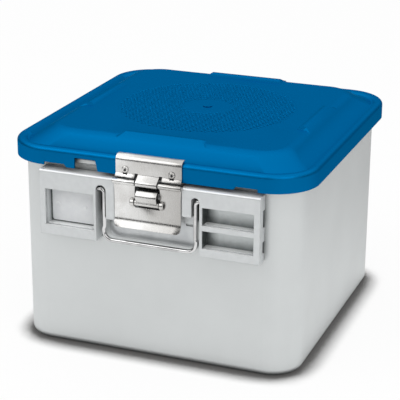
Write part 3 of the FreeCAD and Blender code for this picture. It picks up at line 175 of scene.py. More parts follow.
floor_mesh = bmesh.new()
bmesh.ops.create_grid(floor_mesh, x_segments=1, y_segments=1, size=FLOOR_HALF)
bmesh.ops.translate(floor_mesh, verts=floor_mesh.verts, vec=(0, FLOOR_SET_BACK, 0))
floor_data = bpy.data.meshes.new("studio_floor")
floor_mesh.to_mesh(floor_data)
floor_mesh.free()
floor_data.materials.append(paper)
floor = bpy.data.objects.new("studio_floor", floor_data)
bpy.context.scene.collection.objects.link(floor)


# The light: a pale ceiling that darkens towards the walls of the studio, most of all on the
# camera's side, with one soft box on the left in front and a weaker one on the right.


def soft_box(name, place, aim_at, size, power):
    """A rectangular lamp at a place, turned towards what it lights. Its power is in watts."""
    lamp_data = bpy.data.lights.new(name, "AREA")
    lamp_data.shape = "RECTANGLE"
    lamp_data.size, lamp_data.size_y = size
    lamp_data.energy = power
    lamp = bpy.data.objects.new(name, lamp_data)
    bpy.context.scene.collection.objects.link(lamp)
    lamp.location = place
    lamp.rotation_euler = (Vector(aim_at) - Vector(place)).to_track_quat("-Z", "Y").to_euler()
    return lamp


soft_box("key_light", (-1.6, -1.65, 2.0), (0, 0, 0.1), (2.8, 2.2), 27)
soft_box("side_light", (1.5, -1.5, 1.3), (0, 0, 0.1), (2.0, 1.6), 17)

world = bpy.data.worlds.new("studio")
bpy.context.scene.world = world
world.use_nodes = True
world.node_tree.nodes.clear()
room = Socket(world.node_tree)
seen = Socket(room.tree, room.make("LightPath").source.node.outputs["Is Camera Ray"])
direction = room.make("TexCoord", output=0)
height = direction.axis(2)
back_wall = room.make(
    "ValToRGB",
    {"stops": [(0.0, 0.30), (0.26, 0.27), (0.34, 0.42), (0.45, 0.82), (0.6, 0.95), (1.0, 0.95)]},
    {0: height},
)
front_wall = room.make(
    "ValToRGB",
    {"stops": [(0.0, 0.07), (0.48, 0.09), (0.64, 0.5), (0.77, 0.95), (1.0, 0.95)]},
    {0: height},
)
walls = direction.axis(1).clipped(-0.25, 0.25).blend(front_wall, back_wall)
sky = room.make("Background", None, {"Color": seen.blend(walls, WHITE), "Strength": 1.18})
room.make("OutputWorld", None, {"Surface": sky})


# The tub: deep drawn from one aluminium blank, its rim rolled outwards into a bead, etched
# and clear anodised to a fine satin. Painted shade darkens its corners and the wall under the rim.


def noise(start, place, scale, detail=3.0, stretch=(1, 1, 1)):
    """Soft noise at a scale per metre, drawn out along an axis by a small stretch."""
    stretched = start.make("Mapping", None, {"Vector": place, "Scale": stretch})
    return start.make("TexNoise", None, {"Vector": stretched, "Scale": scale, "Detail": detail})


def round_edges(start, radius):
    """A normal that catches light along the edges, as if they were broken to this radius."""
    return start.make("Bevel", {"samples": 4}, {"Radius": radius * MM})


def finish_surface(start, colour, roughness, normal, fixed):
    """Joins what varies, and the fixed values, to one principled shader and the output."""
    inputs = {"Base Color": colour, "Roughness": roughness, "Normal": normal, **fixed}
    surface = start.make("BsdfPrincipled", None, inputs)
    start.make("OutputMaterial", None, {"Surface": surface})


def satin_aluminium(name, bright, dull, edge):
    """Etched and anodised aluminium: clouded from dull to bright, with painted shade in its corners.
    """
    material, start = new_material(name)
    place = object_place(start)
    cloud = noise(start, place, 14).clipped(0.35, 0.65)
    grain = noise(start, place, 2600, detail=2.0)
    rounded = round_edges(start, edge)
    bumpy = start.make(
        "Bump", None, {"Strength": 0.12, "Distance": 0.00008, "Height": grain, "Normal": rounded}
    )
    # Painted shade: darker in corners and under the rim, by ambient occlusion.
    painted_corner_shade = openness(start, 11, 0.3, 0.84).blend(linear(96, 99, 99), cloud.blend(dull, bright))
    finish_surface(start, painted_corner_shade, 0.42 + 0.05 * grain + 0.04 * cloud, bumpy, {"Metallic": 0.9})
    return material


def dress(node, material):
    """Gives a CAD node its finished material."""
    slots = nodes[node].data.materials
    slots.clear()
    slots.append(material)


tub_finish = satin_aluminium(
    "satin_anodised_aluminium", linear(220, 223, 223), linear(215, 218, 218), 0.5
)
dress("container_tub", tub_finish)


# The lid: drawn aluminium, dyed blue and anodised, with stacking bars and a ring of some
# fifteen hundred punched vent holes over the paper filter. Its sheet is cut out for the
# ring, and the ring's own sheet is laid in with every hole open.

RING_INNER, RING_OUTER = 25.0, 87.0
HOLE_PITCH, ROW_PITCH, HOLE_RADIUS, HOLE_LIP = 3.79, 3.86, 1.35, 1.7
PLATEAU_TOP, LID_SHEET = 212.5, 1.6
CUT_MARGIN, RING_MARGIN, RING_SUNK, LIP_DEPTH = 1.9, 4.6, 0.02, 0.4
PIECE_SHARP, LID_SHARP, CUTTER_STEPS = 32, 48, 128
LID_DYE, LID_DYE_THIN, PAINTED_HOLE_SHADE = (0, 0.154, 0.396, 1), (0, 0.146, 0.378, 1), (0, 0.02, 0.09, 1)


def blue_anodised():
    """Dyed aluminium, a little uneven in its blue, with painted shade in the vent holes."""
    material, start = new_material("blue_anodised_aluminium")
    place = object_place(start)
    cloud = noise(start, place, 9).clipped(0.3, 0.7)
    grain = noise(start, place, 2400, detail=2.0)
    rounded = round_edges(start, 0.5)
    bumpy = start.make(
        "Bump", None, {"Strength": 0.1, "Distance": 0.00006, "Height": grain, "Normal": rounded}
    )
    dyed = {"Metallic": 1.0, "Specular Tint": (0, 0.59, 0.79, 1)}
    # Painted shade: dark blue in and round the vent holes, by ambient occlusion.
    colour = openness(start, 2.5, 0.15, 0.7).blend(PAINTED_HOLE_SHADE, cloud.blend(LID_DYE_THIN, LID_DYE))
    finish_surface(start, colour, 0.42 + 0.06 * grain, bumpy, dyed)
    return material


def new_piece(name, mesh, body, material, replaced=(), closed=True):
    """Makes a finished bmesh an object that rides on its body and stands for CAD nodes."""
    if closed:
        bmesh.ops.recalc_face_normals(mesh, faces=mesh.faces)
    data = bpy.data.meshes.new(name)
    mesh.to_mesh(data)
    mesh.free()
    data.shade_smooth()
    data.set_sharp_from_angle(angle=math.radians(PIECE_SHARP))
    data.materials.append(material)
    piece = bpy.data.objects.new(name, data)
    bpy.context.scene.collection.objects.link(piece)
    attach(piece, body)
    if replaced:
        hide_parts(*replaced)
    return piece


def true_flats(piece):
    """Lets the big flat faces set the shading, so that only the fillets turn it."""
    weighted = piece.modifiers.new("true_flats", "WEIGHTED_NORMAL")
    weighted.mode = "FACE_AREA_WITH_ANGLE"
    weighted.weight = 80
    weighted.keep_sharp = True


def apply_modifiers(piece):
    """Puts what the modifiers make into the piece's own mesh."""
    bpy.context.view_layer.update()
    ready = piece.evaluated_get(bpy.context.evaluated_depsgraph_get())
    mesh = bpy.data.meshes.new_from_object(ready)
    piece.modifiers.clear()
    piece.data = mesh
    return mesh


# The lid's sheet is the CAD node's with its doubles merged, and with the triangles of each
# flat face joined into one, so that the flats shade evenly.

lid_mesh = bmesh.new()
lid_mesh.from_mesh(nodes["lid_pan"].data)
bmesh.ops.remove_doubles(lid_mesh, verts=lid_mesh.verts, dist=0.000002)
bmesh.ops.dissolve_limit(
    lid_mesh, angle_limit=math.radians(0.2), use_dissolve_boundaries=False,
    verts=lid_mesh.verts, edges=lid_mesh.edges, delimit=set(),
)
lid_finish = blue_anodised()
lid = new_piece("lid_sheet", lid_mesh, "lid", lid_finish, ["lid_pan"])

cutter_mesh = bmesh.new()
inner, outer = (RING_INNER - CUT_MARGIN) * MM, (RING_OUTER + CUT_MARGIN) * MM
low, high = (PLATEAU_TOP - 2 * LID_SHEET) * MM, (PLATEAU_TOP + 1) * MM
corners = [
    cutter_mesh.verts.new(place)
    for place in ((inner, 0, low), (outer, 0, low), (outer, 0, high), (inner, 0, high))
]
sides = [cutter_mesh.edges.new(pair) for pair in zip(corners, corners[1:] + corners[:1])]
bmesh.ops.spin(
    cutter_mesh, geom=corners + sides, axis=(0, 0, 1), cent=(0, 0, 0), steps=CUTTER_STEPS,
    angle=math.tau, use_merge=True,
)
bmesh.ops.recalc_face_normals(cutter_mesh, faces=cutter_mesh.faces)
cutter_data = bpy.data.meshes.new("ring_cutter")
cutter_mesh.to_mesh(cutter_data)
cutter_mesh.free()
cutter = bpy.data.objects.new("ring_cutter", cutter_data)
bpy.context.scene.collection.objects.link(cutter)
opened = lid.modifiers.new("ring_opening", "BOOLEAN")
opened.operation = "DIFFERENCE"
opened.object = cutter
opened.solver = "EXACT"
lid_data = apply_modifiers(lid)
bpy.data.objects.remove(cutter)
lid_data.shade_smooth()
lid_data.set_sharp_from_angle(angle=math.radians(LID_SHARP))
true_flats(lid)
apply_modifiers(lid)

# The ring's sheet: hexagonal cells side by side, each with its hole, whose lip is pressed in
# a little and whose wall goes down through the sheet. Plain cells border it.

ring_mesh = bmesh.new()
cell_radius = HOLE_PITCH / math.sqrt(3)
stretch = ROW_PITCH / (1.5 * cell_radius)
top = (PLATEAU_TOP - RING_SUNK) * MM


def hexagon(mesh):
    """One cell of the staggered pattern: a hexagon with a point in the middle of each side."""
    made = bmesh.ops.create_circle(mesh, cap_ends=False, segments=12, radius=cell_radius * MM)
    for vert in made["verts"]:
        turn = math.degrees(math.atan2(vert.co.y, vert.co.x)) % 60
        if min(turn, 60 - turn) < 1:
            vert.co *= math.cos(math.pi / 6)
    return made["verts"]


plain_cell, punched_cell = bmesh.new(), bmesh.new()
bmesh.ops.contextual_create(plain_cell, geom=hexagon(plain_cell))
hexagon(punched_cell)
lip = bmesh.ops.create_circle(punched_cell, cap_ends=False, segments=12, radius=HOLE_LIP * MM)
bmesh.ops.scale(punched_cell, verts=lip["verts"], vec=(1, 1 / stretch, 1))
bmesh.ops.bridge_loops(punched_cell, edges=punched_cell.edges)
hole_edges = [
    edge for edge in punched_cell.edges
    if all(vert.co.length < 1.01 * HOLE_LIP * MM for vert in edge.verts)
]
pressed = bmesh.ops.extrude_edge_only(punched_cell, edges=hole_edges)["geom"]
pressed_edge = [part for part in pressed if isinstance(part, bmesh.types.BMVert)]
narrowing = HOLE_RADIUS / HOLE_LIP
bmesh.ops.scale(punched_cell, verts=pressed_edge, vec=(narrowing, narrowing, 1))
bmesh.ops.translate(punched_cell, verts=pressed_edge, vec=(0, 0, -LIP_DEPTH * MM))
hole_edges = [
    part for part in pressed
    if isinstance(part, bmesh.types.BMEdge) and all(vert in pressed_edge for vert in part.verts)
]
wall = bmesh.ops.extrude_edge_only(punched_cell, edges=hole_edges)["geom"]
wall_foot = [part for part in wall if isinstance(part, bmesh.types.BMVert)]
bmesh.ops.translate(punched_cell, verts=wall_foot, vec=(0, 0, -(LID_SHEET - LIP_DEPTH) * MM))
cell_data = []
for cell in (plain_cell, punched_cell):
    data = bpy.data.meshes.new("cell")
    cell.to_mesh(data)
    cell.free()
    cell_data.append(data)

reach = int(RING_OUTER / HOLE_PITCH) + 3
for row in range(-reach, reach + 1):
    for column in range(-reach - 2, reach + 3):
        x = (column + 0.5 * (row % 2)) * HOLE_PITCH
        y = row * ROW_PITCH
        radius = math.hypot(x, y)
        if not RING_INNER - RING_MARGIN < radius < RING_OUTER + RING_MARGIN:
            continue
        punched = RING_INNER < radius < RING_OUTER
        laid = len(ring_mesh.verts)
        ring_mesh.from_mesh(cell_data[punched])
        ring_mesh.verts.ensure_lookup_table()
        cell = ring_mesh.verts[laid:]
        bmesh.ops.scale(ring_mesh, verts=cell, vec=(1, stretch, 1))
        bmesh.ops.translate(ring_mesh, verts=cell, vec=(x * MM, y * MM, top))
bmesh.ops.remove_doubles(ring_mesh, verts=ring_mesh.verts, dist=0.00002)
new_piece("vent_ring", ring_mesh, "lid", lid_finish)


# The seal under the lid and the filter set hung in it: silicone rings, a disc of filter
# paper that shows through the vent holes, its dished aluminium retainer, stud and knob.


def plain_finish(
    name, colour, shade, roughness, scale, metallic=0.0, bump=0.1, gap=0, edge=0.3, painted_top_light=None
):
    """A solid, slightly uneven finish: colour drifts to shade, with a fine relief. Where a gap
    width is given, painted shade darkens gaps of about that size. Faces that look up take a
    painted highlight colour where one is given."""
    material, start = new_material(name)
    place = object_place(start)
    drift = noise(start, place, scale / 8).clipped(0.35, 0.65)
    relief = noise(start, place, scale)
    rounded = round_edges(start, edge)
    bumpy = start.make(
        "Bump", None, {"Strength": bump, "Distance": 0.0001, "Height": relief, "Normal": rounded}
    )
    tone = drift.blend(shade, colour)
    # Painted light: faces that look up are made lighter.
    if painted_top_light:
        facing = start.make("NewGeometry", output=1).axis(2)
        tone = facing.clipped(0.4, 0.85).blend(tone, painted_top_light)
    # Painted shade: narrow gaps are darkened, by ambient occlusion.
    if gap:
        deep = tuple(0.05 * channel for channel in shade[:3]) + (1,)
        tone = openness(start, gap, 0.22, 0.66).blend(deep, tone)
    finish_surface(start, tone, roughness + 0.08 * relief, bumpy, {"Metallic": metallic})
    return material


silicone = plain_finish("grey_silicone", linear(150, 154, 158), linear(138, 142, 147), 0.5, 900)
# Painted shade darkens the paper in its hollows.
filter_paper = plain_finish(
    "filter_paper", linear(150, 190, 220), linear(130, 175, 210), 0.9, 1500, bump=0.5, gap=14
)
knob_plastic = plain_finish("knob_plastic", linear(34, 35, 38), linear(26, 27, 30), 0.42, 1200)
dress("lid_gasket", silicone)
dress("retainer_seal", silicone)
dress("filter_disc", filter_paper)
dress("retainer_knob", knob_plastic)
dress("filter_retainer", tub_finish)
dress("centre_stud", lid_finish)


# Label frames and the plain brackets at the rear: mouldings with a light grey, slightly
# metallic coat, with painted light on their upward faces and painted shade in narrow gaps,
# each held by two rivets. The bail's legs hang in their slots. The face of their thin back
# wall, the web, is at WEB.

WEB = -143.5
SLOTS = (("left", -51.4, -41.3, 141.5), ("right", 43.6, 51.4, 147.0))
SLOT_TOP, SLOT_CORNER, SLOT_SINK = 173.3, 3.8, 0.6
WINDOW_NEAR, WINDOW_FAR = 53.0, 104.4
TALL_WINDOW_FOOT, TALL_WINDOW_TOP = 126.2, 163.9
LOW_WINDOWS = (("upper", 146.6, 166.4), ("lower", 124.4, 144.0))

# Painted highlight on upward faces and painted shade in gaps of about 1.5 mm.
frame_coat = plain_finish(
    "grey_frame_coat", linear(210, 213, 214), linear(205, 208, 209), 0.28, 1400, metallic=0.3,
    gap=1.5, edge=0.8, painted_top_light=linear(252, 253, 253),
)
for node in (
    "left_label_frame", "right_label_frame", "rear_left_bail_bracket", "rear_right_bail_bracket"
):
    dress(node, frame_coat)


def flat_plate(mesh, left, right, foot, top, face, gauge, corner):
    """A flat plate facing the front, with round corners."""
    plate = bmesh.ops.create_cube(mesh, size=1)["verts"]
    bmesh.ops.scale(mesh, verts=plate, vec=(right - left, gauge, top - foot))
    middle = ((left + right) / 2, face + gauge / 2, (foot + top) / 2)
    bmesh.ops.translate(mesh, verts=plate, vec=middle)
    corners = [
        edge for edge in mesh.edges
        if abs(edge.verts[0].co.y - edge.verts[1].co.y) > gauge / 2
    ]
    bmesh.ops.bevel(
        mesh, geom=corners, offset=corner, segments=6, profile=0.5, affect="EDGES", material=-1
    )


def frame_piece(name, mesh, material):
    """Makes a part of the label frames from a mesh in millimetres."""
    bmesh.ops.scale(mesh, verts=mesh.verts, vec=(MM, MM, MM))
    bmesh.ops.remove_doubles(mesh, verts=mesh.verts, dist=0.000001)
    return new_piece(name, mesh, "container", material)


# Black sheets of painted shade, laid on the web in the bail slots.
slot_shade_finish = plain_finish("painted_slot_shade", linear(26, 29, 29), linear(20, 22, 22), 0.6, 1400)
for name, left, right, foot in SLOTS:
    slot_shade_sheet = bmesh.new()
    flat_plate(slot_shade_sheet, left, right, foot, SLOT_TOP, WEB + SLOT_SINK, 0.35, SLOT_CORNER)
    frame_piece(f"{name}_slot_shade_sheet", slot_shade_sheet, slot_shade_finish)


# The tall left window holds a pale panel, which stands off a dark sheet of painted shade and
# leaves a narrow gap at the left and at the foot.

window_shade = plain_finish(
    "painted_window_gap_shade", linear(94, 101, 100), linear(80, 88, 86), 0.5, 1400
)
panel_white = plain_finish(
    "window_panel", linear(230, 232, 233), linear(224, 226, 228), 0.4, 1400, metallic=0.1
)
gap_shade_sheet = bmesh.new()
flat_plate(
    gap_shade_sheet, -WINDOW_FAR, -WINDOW_NEAR, TALL_WINDOW_FOOT, TALL_WINDOW_TOP, WEB - 0.3, gauge=0.3,
    corner=0.3,
)
frame_piece("left_window_gap_shade", gap_shade_sheet, window_shade)
panel = bmesh.new()
flat_plate(
    panel, 2.5 - WINDOW_FAR, -0.4 - WINDOW_NEAR, TALL_WINDOW_FOOT + 2.4, TALL_WINDOW_TOP - 0.1,
    WEB - 0.9, gauge=0.6, corner=2.2,
)
frame_piece("left_window_panel", panel, panel_white)


# The two low windows on the right hold grey panels with painted shade at their left end and
# foot, each with a dark strip of painted shade along the window's left side.


def painted_shade_panel(name, foot):
    """A grey panel with painted shade at its left end and along its foot."""
    material, start = new_material(name)
    place = object_place(start)
    # Painted shade: dark at the panel's left end and along its foot.
    from_left = place.axis(0).clipped(0.055, 0.067)
    unshaded_share = from_left * place.axis(2).clipped((foot - 1) * MM, (foot + 13) * MM)
    unshaded_share = unshaded_share + 0.12 * noise(start, place, 160).clipped(0.3, 0.7)
    colour = unshaded_share.blend(linear(44, 52, 52), linear(212, 217, 217))
    finish_surface(start, colour, 0.3 + 0.1 * unshaded_share, round_edges(start, 0.3), {"Metallic": 0.4})
    return material


STRIP_X, STRIP_WIDTH, STRIP_DEPTH = 54.3, 0.3, 10.4
for name, foot, top in LOW_WINDOWS:
    panel = bmesh.new()
    flat_plate(panel, WINDOW_NEAR, WINDOW_FAR, foot, top, WEB - 1.2, gauge=1.2, corner=0.6)
    # A dark strip of painted shade along the window's left side.
    shade_strip = bmesh.ops.create_cube(panel, size=1)["verts"]
    bmesh.ops.scale(panel, verts=shade_strip, vec=(STRIP_WIDTH, STRIP_DEPTH, top - foot - 3))
    bmesh.ops.translate(panel, verts=shade_strip, vec=(STRIP_X, WEB - 5.8, (top + foot) / 2))
    shaded_panel_finish = painted_shade_panel(f"{name}_painted_shade_panel", foot)
    frame_piece(f"{name}_right_window_panel", panel, shaded_panel_finish)


# The rivets: aluminium domes, but those in the left window are coated like its panel.

rivet_metal = plain_finish(
    "rivet_aluminium", linear(214, 214, 213), linear(200, 200, 199), 0.26, 800, metallic=0.9
)
dress("left_frame_rivets", panel_white)
for node in (
    "right_frame_rivets", "rear_bail_bracket_rivets",
    "front_strike_rivets", "rear_strike_rivets", "front_latch_rivets", "rear_latch_rivets",
):
    dress(node, rivet_metal)


# The draw latches: stainless sheet, cold rolled with its grain up and down the plate, folded
# and curled round its pins, tumbled so that the edges are bright.


def brushed_steel(name, bright, dull, along, roughness, right_painted_shade=None):
    """Stainless sheet whose rolling grain runs along one axis: stretch is small there. It has
    painted shade towards the right where that colour is given, and painted shade in its creases."""
    material, start = new_material(name)
    place = object_place(start)
    lines = noise(start, place, 1500, detail=4.0, stretch=along)
    cloud = noise(start, place, 60).clipped(0.35, 0.65)
    rounded = round_edges(start, 0.3)
    bumpy = start.make(
        "Bump", None, {"Strength": 0.06, "Distance": 0.00005, "Height": lines, "Normal": rounded}
    )
    tone = (0.3 * lines + 0.7 * cloud).clipped(0.25, 0.75).blend(dull, bright)
    # Painted shade: darker towards the right of the plate.
    if right_painted_shade:
        tone = (0.9 * place.axis(0).clipped(-0.03, 0.034)).blend(tone, right_painted_shade)
    # Painted shade in creases and under parts, by ambient occlusion.
    painted_crease_shade = openness(start, 3.5, 0.35, 0.8).blend(linear(28, 27, 26), tone)
    finish_surface(start, painted_crease_shade, roughness + 0.06 * lines, bumpy, {"Metallic": 1.0})
    return material


latch_steel = brushed_steel(
    "brushed_stainless", linear(240, 240, 239), linear(222, 221, 219), (1, 1, 0.04), 0.24,
    right_painted_shade=linear(178, 176, 173),
)
plate_steel = brushed_steel(
    "backing_stainless", linear(204, 207, 208), linear(190, 193, 195), (1, 1, 0.1), 0.3
)
wire_steel = brushed_steel(
    "bright_wire", linear(220, 220, 220), linear(196, 196, 196), (1, 1, 1), 0.08
)
# Black as painted shade for the strikes, claw pins, pin ends and the strip behind the notches; the
# rivets' punch marks use it too.
black_and_painted_shade = plain_finish("blackened_and_painted_shade", linear(30, 30, 31), linear(20, 20, 21), 0.5, 900)
for end in ("front", "rear"):
    dress(f"{end}_hinge_pin", latch_steel)
    for part in ("claw_pin", "strike"):
        dress(f"{end}_{part}", black_and_painted_shade)
    dress(f"{end}_backing_plate", plate_steel)
    dress(f"{end}_bail", wire_steel)

LATCH_X = 1.0
SHARP_BEND = 38
HINGE = Vector((0, -158.2, 181.0))
CLAW_AXIS = Vector((0, -157.2, 162.0))


def arc(centre, radius, first, last, steps=10):
    """Points in a plane round a centre, with the angles counted from its first axis."""
    turns = [math.radians(first + (last - first) * step / steps) for step in range(steps + 1)]
    return [(centre[0] + radius * math.cos(t), centre[1] + radius * math.sin(t)) for t in turns]


def softened(points, radii, steps=6):
    """A path through points in the YZ plane, with every inner corner rounded to its radius."""
    path = [points[0]]
    for before, corner, after, radius in zip(points, points[1:], points[2:], radii):
        corner = Vector(corner)
        inward = (Vector(before) - corner).normalized()
        onward = (Vector(after) - corner).normalized()
        half = inward.angle(onward) / 2
        enter = corner + inward * radius / math.tan(half)
        middle = corner + (inward + onward).normalized() * radius / math.sin(half)
        spoke = enter - middle
        turn = math.pi - 2 * half
        if inward.x * onward.y - inward.y * onward.x > 0:
            turn = -turn
        for step in range(steps + 1):
            path.append(tuple(middle + Matrix.Rotation(turn * step / steps, 2) @ spoke))
    path.append(points[-1])
    return path


def lay_sheet(mesh, path, columns, half_width, skipped=None):
    """Draws a row of edges out along a path into a sheet. Its columns are shares of the half
    width at each point, and the faces that skipped picks are left open."""
    rows, opened = [], []
    for step, (y, z) in enumerate(path):
        if rows:
            edges = [mesh.edges.get(pair) for pair in zip(rows[-1], rows[-1][1:])]
            drawn = bmesh.ops.extrude_edge_only(mesh, edges=edges)["geom"]
            row = [part for part in drawn if isinstance(part, bmesh.types.BMVert)]
            row.sort(key=lambda vert: vert.co.x)
        else:
            row = [mesh.verts.new((share, 0, 0)) for share in columns]
            for left, right in zip(row, row[1:]):
                mesh.edges.new((right, left))
        reach = half_width(step, z)
        for vert, share in zip(row, columns):
            vert.co = (LATCH_X + share * reach, y, z)
        rows.append(row)
        if skipped and step:
            for place, pair in enumerate(zip(row, row[1:])):
                middle = (columns[place] + columns[place + 1]) / 2
                if skipped(middle, path[step - 1][1], z):
                    opened.append(mesh.edges.get(pair).link_faces[0])
    bmesh.ops.delete(mesh, geom=opened, context="FACES_ONLY")
    return rows


def clear_loose(mesh):
    """Takes away the edges and corners that no face uses."""
    wires = [edge for edge in mesh.edges if not edge.link_faces]
    bmesh.ops.delete(mesh, geom=wires, context="EDGES")
    loose = [vert for vert in mesh.verts if not vert.link_faces]
    bmesh.ops.delete(mesh, geom=loose, context="VERTS")


def round_bar(mesh, centre, radius, start, end, hole=0.0, chamfer=0.25):
    """A turned bar or ring along X with broken edges, as a profile spun round its axis."""
    inner = max(hole, 0.02)
    outline = [
        (start, inner), (start, radius - chamfer), (start + chamfer, radius),
        (end - chamfer, radius), (end, radius - chamfer), (end, inner),
    ]
    verts = [mesh.verts.new((LATCH_X + x, centre.y, centre.z + r)) for x, r in outline]
    edges = [mesh.edges.new(pair) for pair in zip(verts, verts[1:] + verts[:1])]
    bmesh.ops.spin(
        mesh, geom=verts + edges, axis=(1, 0, 0), cent=centre, steps=32, angle=math.tau,
        use_merge=True,
    )


def latch_piece(
    name, mesh, body, nodes_replaced=(), gauge=0.0, finish=latch_steel
):
    """Makes the front piece and its mirror at the rear. A sheet is given its gauge, which
    lies on the side that its faces look to where it is positive."""
    bmesh.ops.scale(mesh, verts=mesh.verts, vec=(MM, MM, MM))
    bmesh.ops.remove_doubles(mesh, verts=mesh.verts, dist=0.000001)
    for end in ("front", "rear"):
        made = new_piece(
            f"{end}_{name}", mesh.copy(), body.replace("front", end), finish,
            [node.replace("front", end) for node in nodes_replaced], closed=not gauge,
        )
        if gauge:
            solid = made.modifiers.new("gauge", "SOLIDIFY")
            solid.thickness = abs(gauge) * MM
            solid.offset = math.copysign(1, gauge)
            solid.use_even_offset = True
            edged = made.modifiers.new("broken_edges", "BEVEL")
            edged.width = 0.18 * MM
            edged.segments = 2
            edged.limit_method = "ANGLE"
            edged.angle_limit = math.radians(50)
            apply_modifiers(made)
        finished = bmesh.new()
        finished.from_mesh(made.data)
        if end == "rear":
            bmesh.ops.scale(finished, verts=finished.verts, vec=(1, -1, 1))
        bmesh.ops.recalc_face_normals(finished, faces=finished.faces)
        finished.to_mesh(made.data)
        finished.free()
        made.data.shade_smooth()
        made.data.set_sharp_from_angle(angle=math.radians(SHARP_BEND))
    mesh.free()


# The bracket: rolled over the lid's rim, flared out above the plate's knuckles, with two
# lanced slots on the bend. Its tongue between two relief notches curls round the hinge pin.

OUTER, BEND, SLOT_FOOT = -154.0, 188.6, 186.7
HALF, RIVET_X, BETWEEN, TONGUE, NOTCH = 32.6, 23.0, 17, 10.5, 3.0
SLOT_HALF, SLOT_RISE = 2, 0.6
BRACKET_GAUGE, TONGUE_WRAP, WRAP_START, WRAP_SWEEP = 1.3, 2.9, 125.4, 262

roll = softened(
    [(-145.6, 205.0), (-149.2, 204.7), (OUTER, 203.6), (OUTER, BEND)], [3, 5], steps=8
)
flare = softened([(OUTER, BEND), (OUTER, BEND - 0.5), (-156.2, 184.6)], [0.6], steps=2)
flare.insert(-1, (-154.9, SLOT_FOOT))
bracket_columns = sorted(
    side * x / HALF for side in (-1, 1)
    for x in (
        HALF, RIVET_X + SLOT_HALF, RIVET_X, RIVET_X - SLOT_HALF, BETWEEN, TONGUE + NOTCH, TONGUE
    )
)


def in_notch_or_slot(middle, first, second):
    """Whether a face of the flare, given by its middle's share and its heights, is cut out."""
    x = abs(middle) * HALF
    return x < TONGUE + NOTCH or (abs(x - RIVET_X) < SLOT_HALF and second > SLOT_FOOT - 0.1)


bracket = bmesh.new()
lay_sheet(bracket, roll, bracket_columns, lambda step, z: HALF)
flare_rows = lay_sheet(
    bracket, flare, bracket_columns, lambda step, z: HALF, skipped=in_notch_or_slot
)
for row in flare_rows:
    for vert in row:
        if vert.co.z < SLOT_FOOT + 0.3 and abs(abs(vert.co.x - LATCH_X) - RIVET_X) < 0.1:
            vert.co.z += SLOT_RISE
wrap = arc((HINGE.y, HINGE.z), TONGUE_WRAP, WRAP_START, WRAP_START + WRAP_SWEEP, steps=24)
curl = softened([(OUTER, BEND), (OUTER, BEND - 1), wrap[0]], [0.8], steps=3)[:-1] + wrap
lay_sheet(bracket, curl, [-1, 1], lambda step, z: TONGUE)
clear_loose(bracket)
latch_piece("bracket_sheet", bracket, "lid", ["front_latch_bracket"], gauge=BRACKET_GAUGE)


# The strip behind the notches: a black sheet of painted shade behind the bracket, which
# shows black through them.

NOTCH_SHADE_HALF, NOTCH_SHADE_FOOT, NOTCH_SHADE_TOP = 29.5, 185.2, 196
notch_shade = bmesh.new()
flat_plate(
    notch_shade, LATCH_X - NOTCH_SHADE_HALF, LATCH_X + NOTCH_SHADE_HALF, NOTCH_SHADE_FOOT, NOTCH_SHADE_TOP,
    OUTER + 0.02, gauge=0.6, corner=1.0,
)
latch_piece("notch_shade_strip", notch_shade, "lid", finish=black_and_painted_shade)


# The bracket's rivets: polished steel domes, turned in one piece with a dished centre, and
# each with the blackened mark of the punch that set it.

RIVET_Z = 191.5
RIVET_PROFILE = [
    (3.3, 0.1), (3.25, -0.6), (2.95, -1.15), (2.4, -1.5), (1.7, -1.62), (1.25, -1.5),
    (0.9, -0.9), (0.6, -0.6), (0.02, -0.55),
]
MARK_RADIUS, MARK_HEIGHT, MARK_ASIDE, MARK_SINK, MARK_GAUGE = 1.1, 1.3, 0.5, 1.2, 0.5
domes = bmesh.new()
for side in (-1, 1):
    centre = Vector((LATCH_X + side * RIVET_X, OUTER, RIVET_Z))
    verts = [domes.verts.new(centre + Vector((r, rise, 0))) for r, rise in RIVET_PROFILE]
    edges = [domes.edges.new(pair) for pair in zip(verts, verts[1:])]
    bmesh.ops.spin(
        domes, geom=verts + edges, axis=(0, 1, 0), cent=centre, steps=32, angle=math.tau,
        use_merge=True,
    )
rims = [edge for edge in domes.edges if edge.is_boundary]
bmesh.ops.holes_fill(domes, edges=rims)
latch_piece("rivet_domes", domes, "lid")

marks = bmesh.new()
for side in (-1, 1):
    spot = bmesh.ops.create_circle(marks, cap_ends=True, segments=16, radius=MARK_RADIUS)["verts"]
    bmesh.ops.rotate(marks, verts=spot, matrix=Matrix.Rotation(math.pi / 2, 3, "X"))
    bmesh.ops.scale(marks, verts=spot, vec=(1, 1, MARK_HEIGHT))
    centre = (LATCH_X + side * RIVET_X + MARK_ASIDE, OUTER - MARK_SINK, RIVET_Z)
    bmesh.ops.translate(marks, verts=spot, vec=centre)
extruded = bmesh.ops.extrude_face_region(marks, geom=marks.faces[:])["geom"]
tips = [part for part in extruded if isinstance(part, bmesh.types.BMVert)]
bmesh.ops.translate(marks, verts=tips, vec=(0, -MARK_GAUGE, 0))
latch_piece("rivet_marks", marks, "lid", finish=black_and_painted_shade)


# The latch plate: curled round the hinge pin at both ends, drawn in a little below the
# knuckles, with a window for the claw and a flared finger lip with round corners.

PLATE_BACK, PLATE_GAUGE, PLATE_WRAP, LIP_REACH = -155.7, 1.2, 2.5, -159.75
EAR_HALF, PLATE_HALF, WINDOW_HALF, KNUCKLE_START = 33.6, 32.9, 12.45, 11.8
WINDOW_FOOT, WINDOW_TOP, WINDOW_CORNER, LIP_FOOT, LIP_CORNER = 157.2, 177.5, 2.4, 136.5, 4.4
DRAWN_IN_FROM, DRAWN_IN_TO = 178.5, 166

# From the hinge pin down: the wrap, the flat with more heights near the window's round
# corners, and the lip with more of them near its own.

